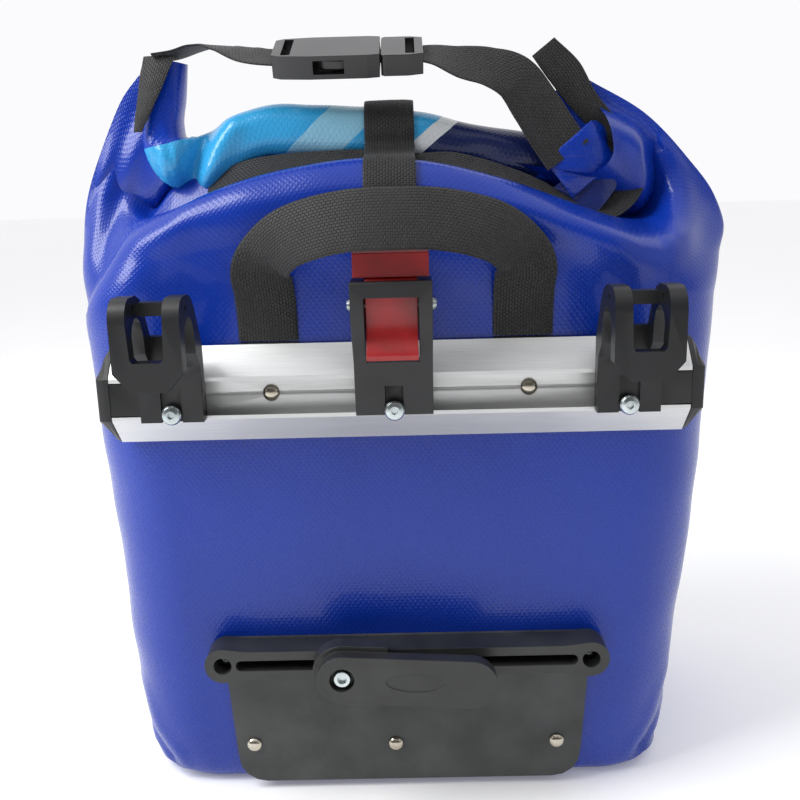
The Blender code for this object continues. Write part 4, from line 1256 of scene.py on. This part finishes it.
class PANNIER_OT_stage(bpy.types.Operator):
    """Builds the pale floor, the soft lights and the camera"""

    bl_idname = "pannier.stage"
    bl_label = "Stage"

    def execute(self, context):
        stage = context.scene.pannier_stage
        mesh = bpy.data.meshes.new("floor")
        corners = [(x * FLOOR_HALF, y * FLOOR_HALF, 0) for x, y in ((-1, -1), (1, -1), (1, 1), (-1, 1))]
        mesh.from_pydata(corners, [], [(0, 1, 2, 3)])
        floor = new_object("floor", mesh)
        material, tree, out = blank("pale_floor")
        haze = add(tree, "ShaderNodeTexNoise", {"Vector": object_place(tree), "Scale": 2.0}).outputs[0]
        shaded(
            tree,
            out,
            {
                "Base Color": mixed(tree, haze, linear("#f3f3f4"), linear("#fafafa")),
                "Roughness": 0.8,
                "Emission Color": (1, 1, 1, 1),
                "Emission Strength": stage.glow,
            },
        )
        mesh.materials.append(material)
        self.surroundings(context, stage)
        self.lights(context, stage)
        self.camera(context, stage)
        return {"FINISHED"}

    def surroundings(self, context, stage):
        """A studio room: bright above and behind the object, and dim on the camera's side."""
        world = bpy.data.worlds.new("Studio")
        context.scene.world = world
        world.use_nodes = True
        tree = world.node_tree
        around = add(tree, "ShaderNodeTexCoord").outputs["Generated"]
        axes = add(tree, "ShaderNodeSeparateXYZ", {"Vector": around})
        level = ranged(tree, axes.outputs["Y"], -0.55, 0.1, stage.front, stage.world)
        above = ranged(tree, axes.outputs["Z"], 0.45, 0.85, 0.0, stage.world)
        both = worked(tree, "MAXIMUM", level, above)
        back = tree.nodes["Background"]
        back.inputs["Color"].default_value = rgba(linear("#fbfbfd"))
        tree.links.new(both, back.inputs["Strength"])

    def lights(self, context, stage):
        rows = (
            ("key_light", stage.key, (-0.80, -0.38, 0.98), 0.45, 0.9),
            ("fill_light", stage.fill, (1.1, -0.9, 0.8), 0.7, 0.9),
        )
        for name, power, place, wide, tall in rows:
            light = bpy.data.lights.new(name, "AREA")
            light.shape = "RECTANGLE"
            light.size, light.size_y, light.energy = wide, tall, power
            obj = bpy.data.objects.new(name, light)
            context.scene.collection.objects.link(obj)
            obj.location = place
            aim = Vector(LIGHTS_AIM) - obj.location
            obj.rotation_euler = aim.to_track_quat("-Z", "Y").to_euler()

    def camera(self, context, stage):
        camera = bpy.data.cameras.new("camera")
        camera.sensor_width = 36.0
        camera.lens = stage.lens
        camera.clip_start = 0.01
        obj = bpy.data.objects.new("camera", camera)
        context.scene.collection.objects.link(obj)
        yaw, pitch, roll = CAMERA_TURN
        flat = math.cos(pitch)
        ahead = np.array([math.sin(yaw) * flat, math.cos(yaw) * flat, -math.sin(pitch)])
        right = np.array([math.cos(yaw), -math.sin(yaw), 0.0])
        up = np.cross(right, ahead)
        side = right * math.cos(roll) + up * math.sin(roll)
        rise = -right * math.sin(roll) + up * math.cos(roll)
        turn = np.eye(4)
        turn[:3, 0], turn[:3, 1], turn[:3, 2] = side, rise, -ahead
        turn[:3, 3] = (CAMERA_X, RAIL_BACK - stage.distance, stage.height)
        obj.matrix_world = Matrix(turn.tolist())
        context.scene.camera = obj
        context.scene.view_settings.view_transform = "Standard"


class PANNIER_PT_panel(bpy.types.Panel):
    """Lists the pannier's operators, sizes and colours"""

    bl_label = "Pannier"
    bl_idname = "PANNIER_PT_panel"
    bl_space_type = "VIEW_3D"
    bl_region_type = "UI"
    bl_category = "Pannier"

    def draw(self, context):
        for step in STEPS:
            self.layout.operator(step)
        scene = context.scene
        for group in (scene.pannier_sizes, scene.pannier_looks, scene.pannier_stage):
            box = self.layout.box()
            for name in group.__annotations__:
                box.prop(group, name)


STEPS = (
    "pannier.bag",
    "pannier.roll",
    "pannier.straps",
    "pannier.rail",
    "pannier.hooks",
    "pannier.latch",
    "pannier.lower",
    "pannier.buckles",
    "pannier.stage",
)
CLASSES = (
    PannierSizes,
    PannierLooks,
    PannierStage,
    PANNIER_OT_bag,
    PANNIER_OT_roll,
    PANNIER_OT_straps,
    PANNIER_OT_rail,
    PANNIER_OT_hooks,
    PANNIER_OT_latch,
    PANNIER_OT_lower,
    PANNIER_OT_buckles,
    PANNIER_OT_stage,
    PANNIER_PT_panel,
)


def register():
    for group in CLASSES:
        bpy.utils.register_class(group)
    bpy.types.Scene.pannier_sizes = PointerProperty(type=PannierSizes)
    bpy.types.Scene.pannier_looks = PointerProperty(type=PannierLooks)
    bpy.types.Scene.pannier_stage = PointerProperty(type=PannierStage)


def unregister():
    del bpy.types.Scene.pannier_stage
    del bpy.types.Scene.pannier_looks
    del bpy.types.Scene.pannier_sizes
    for group in reversed(CLASSES):
        bpy.utils.unregister_class(group)


def main():
    register()
    for step in STEPS:
        family, name = step.split(".")
        getattr(getattr(bpy.ops, family), name)()


if __name__ == "__main__":
    main()
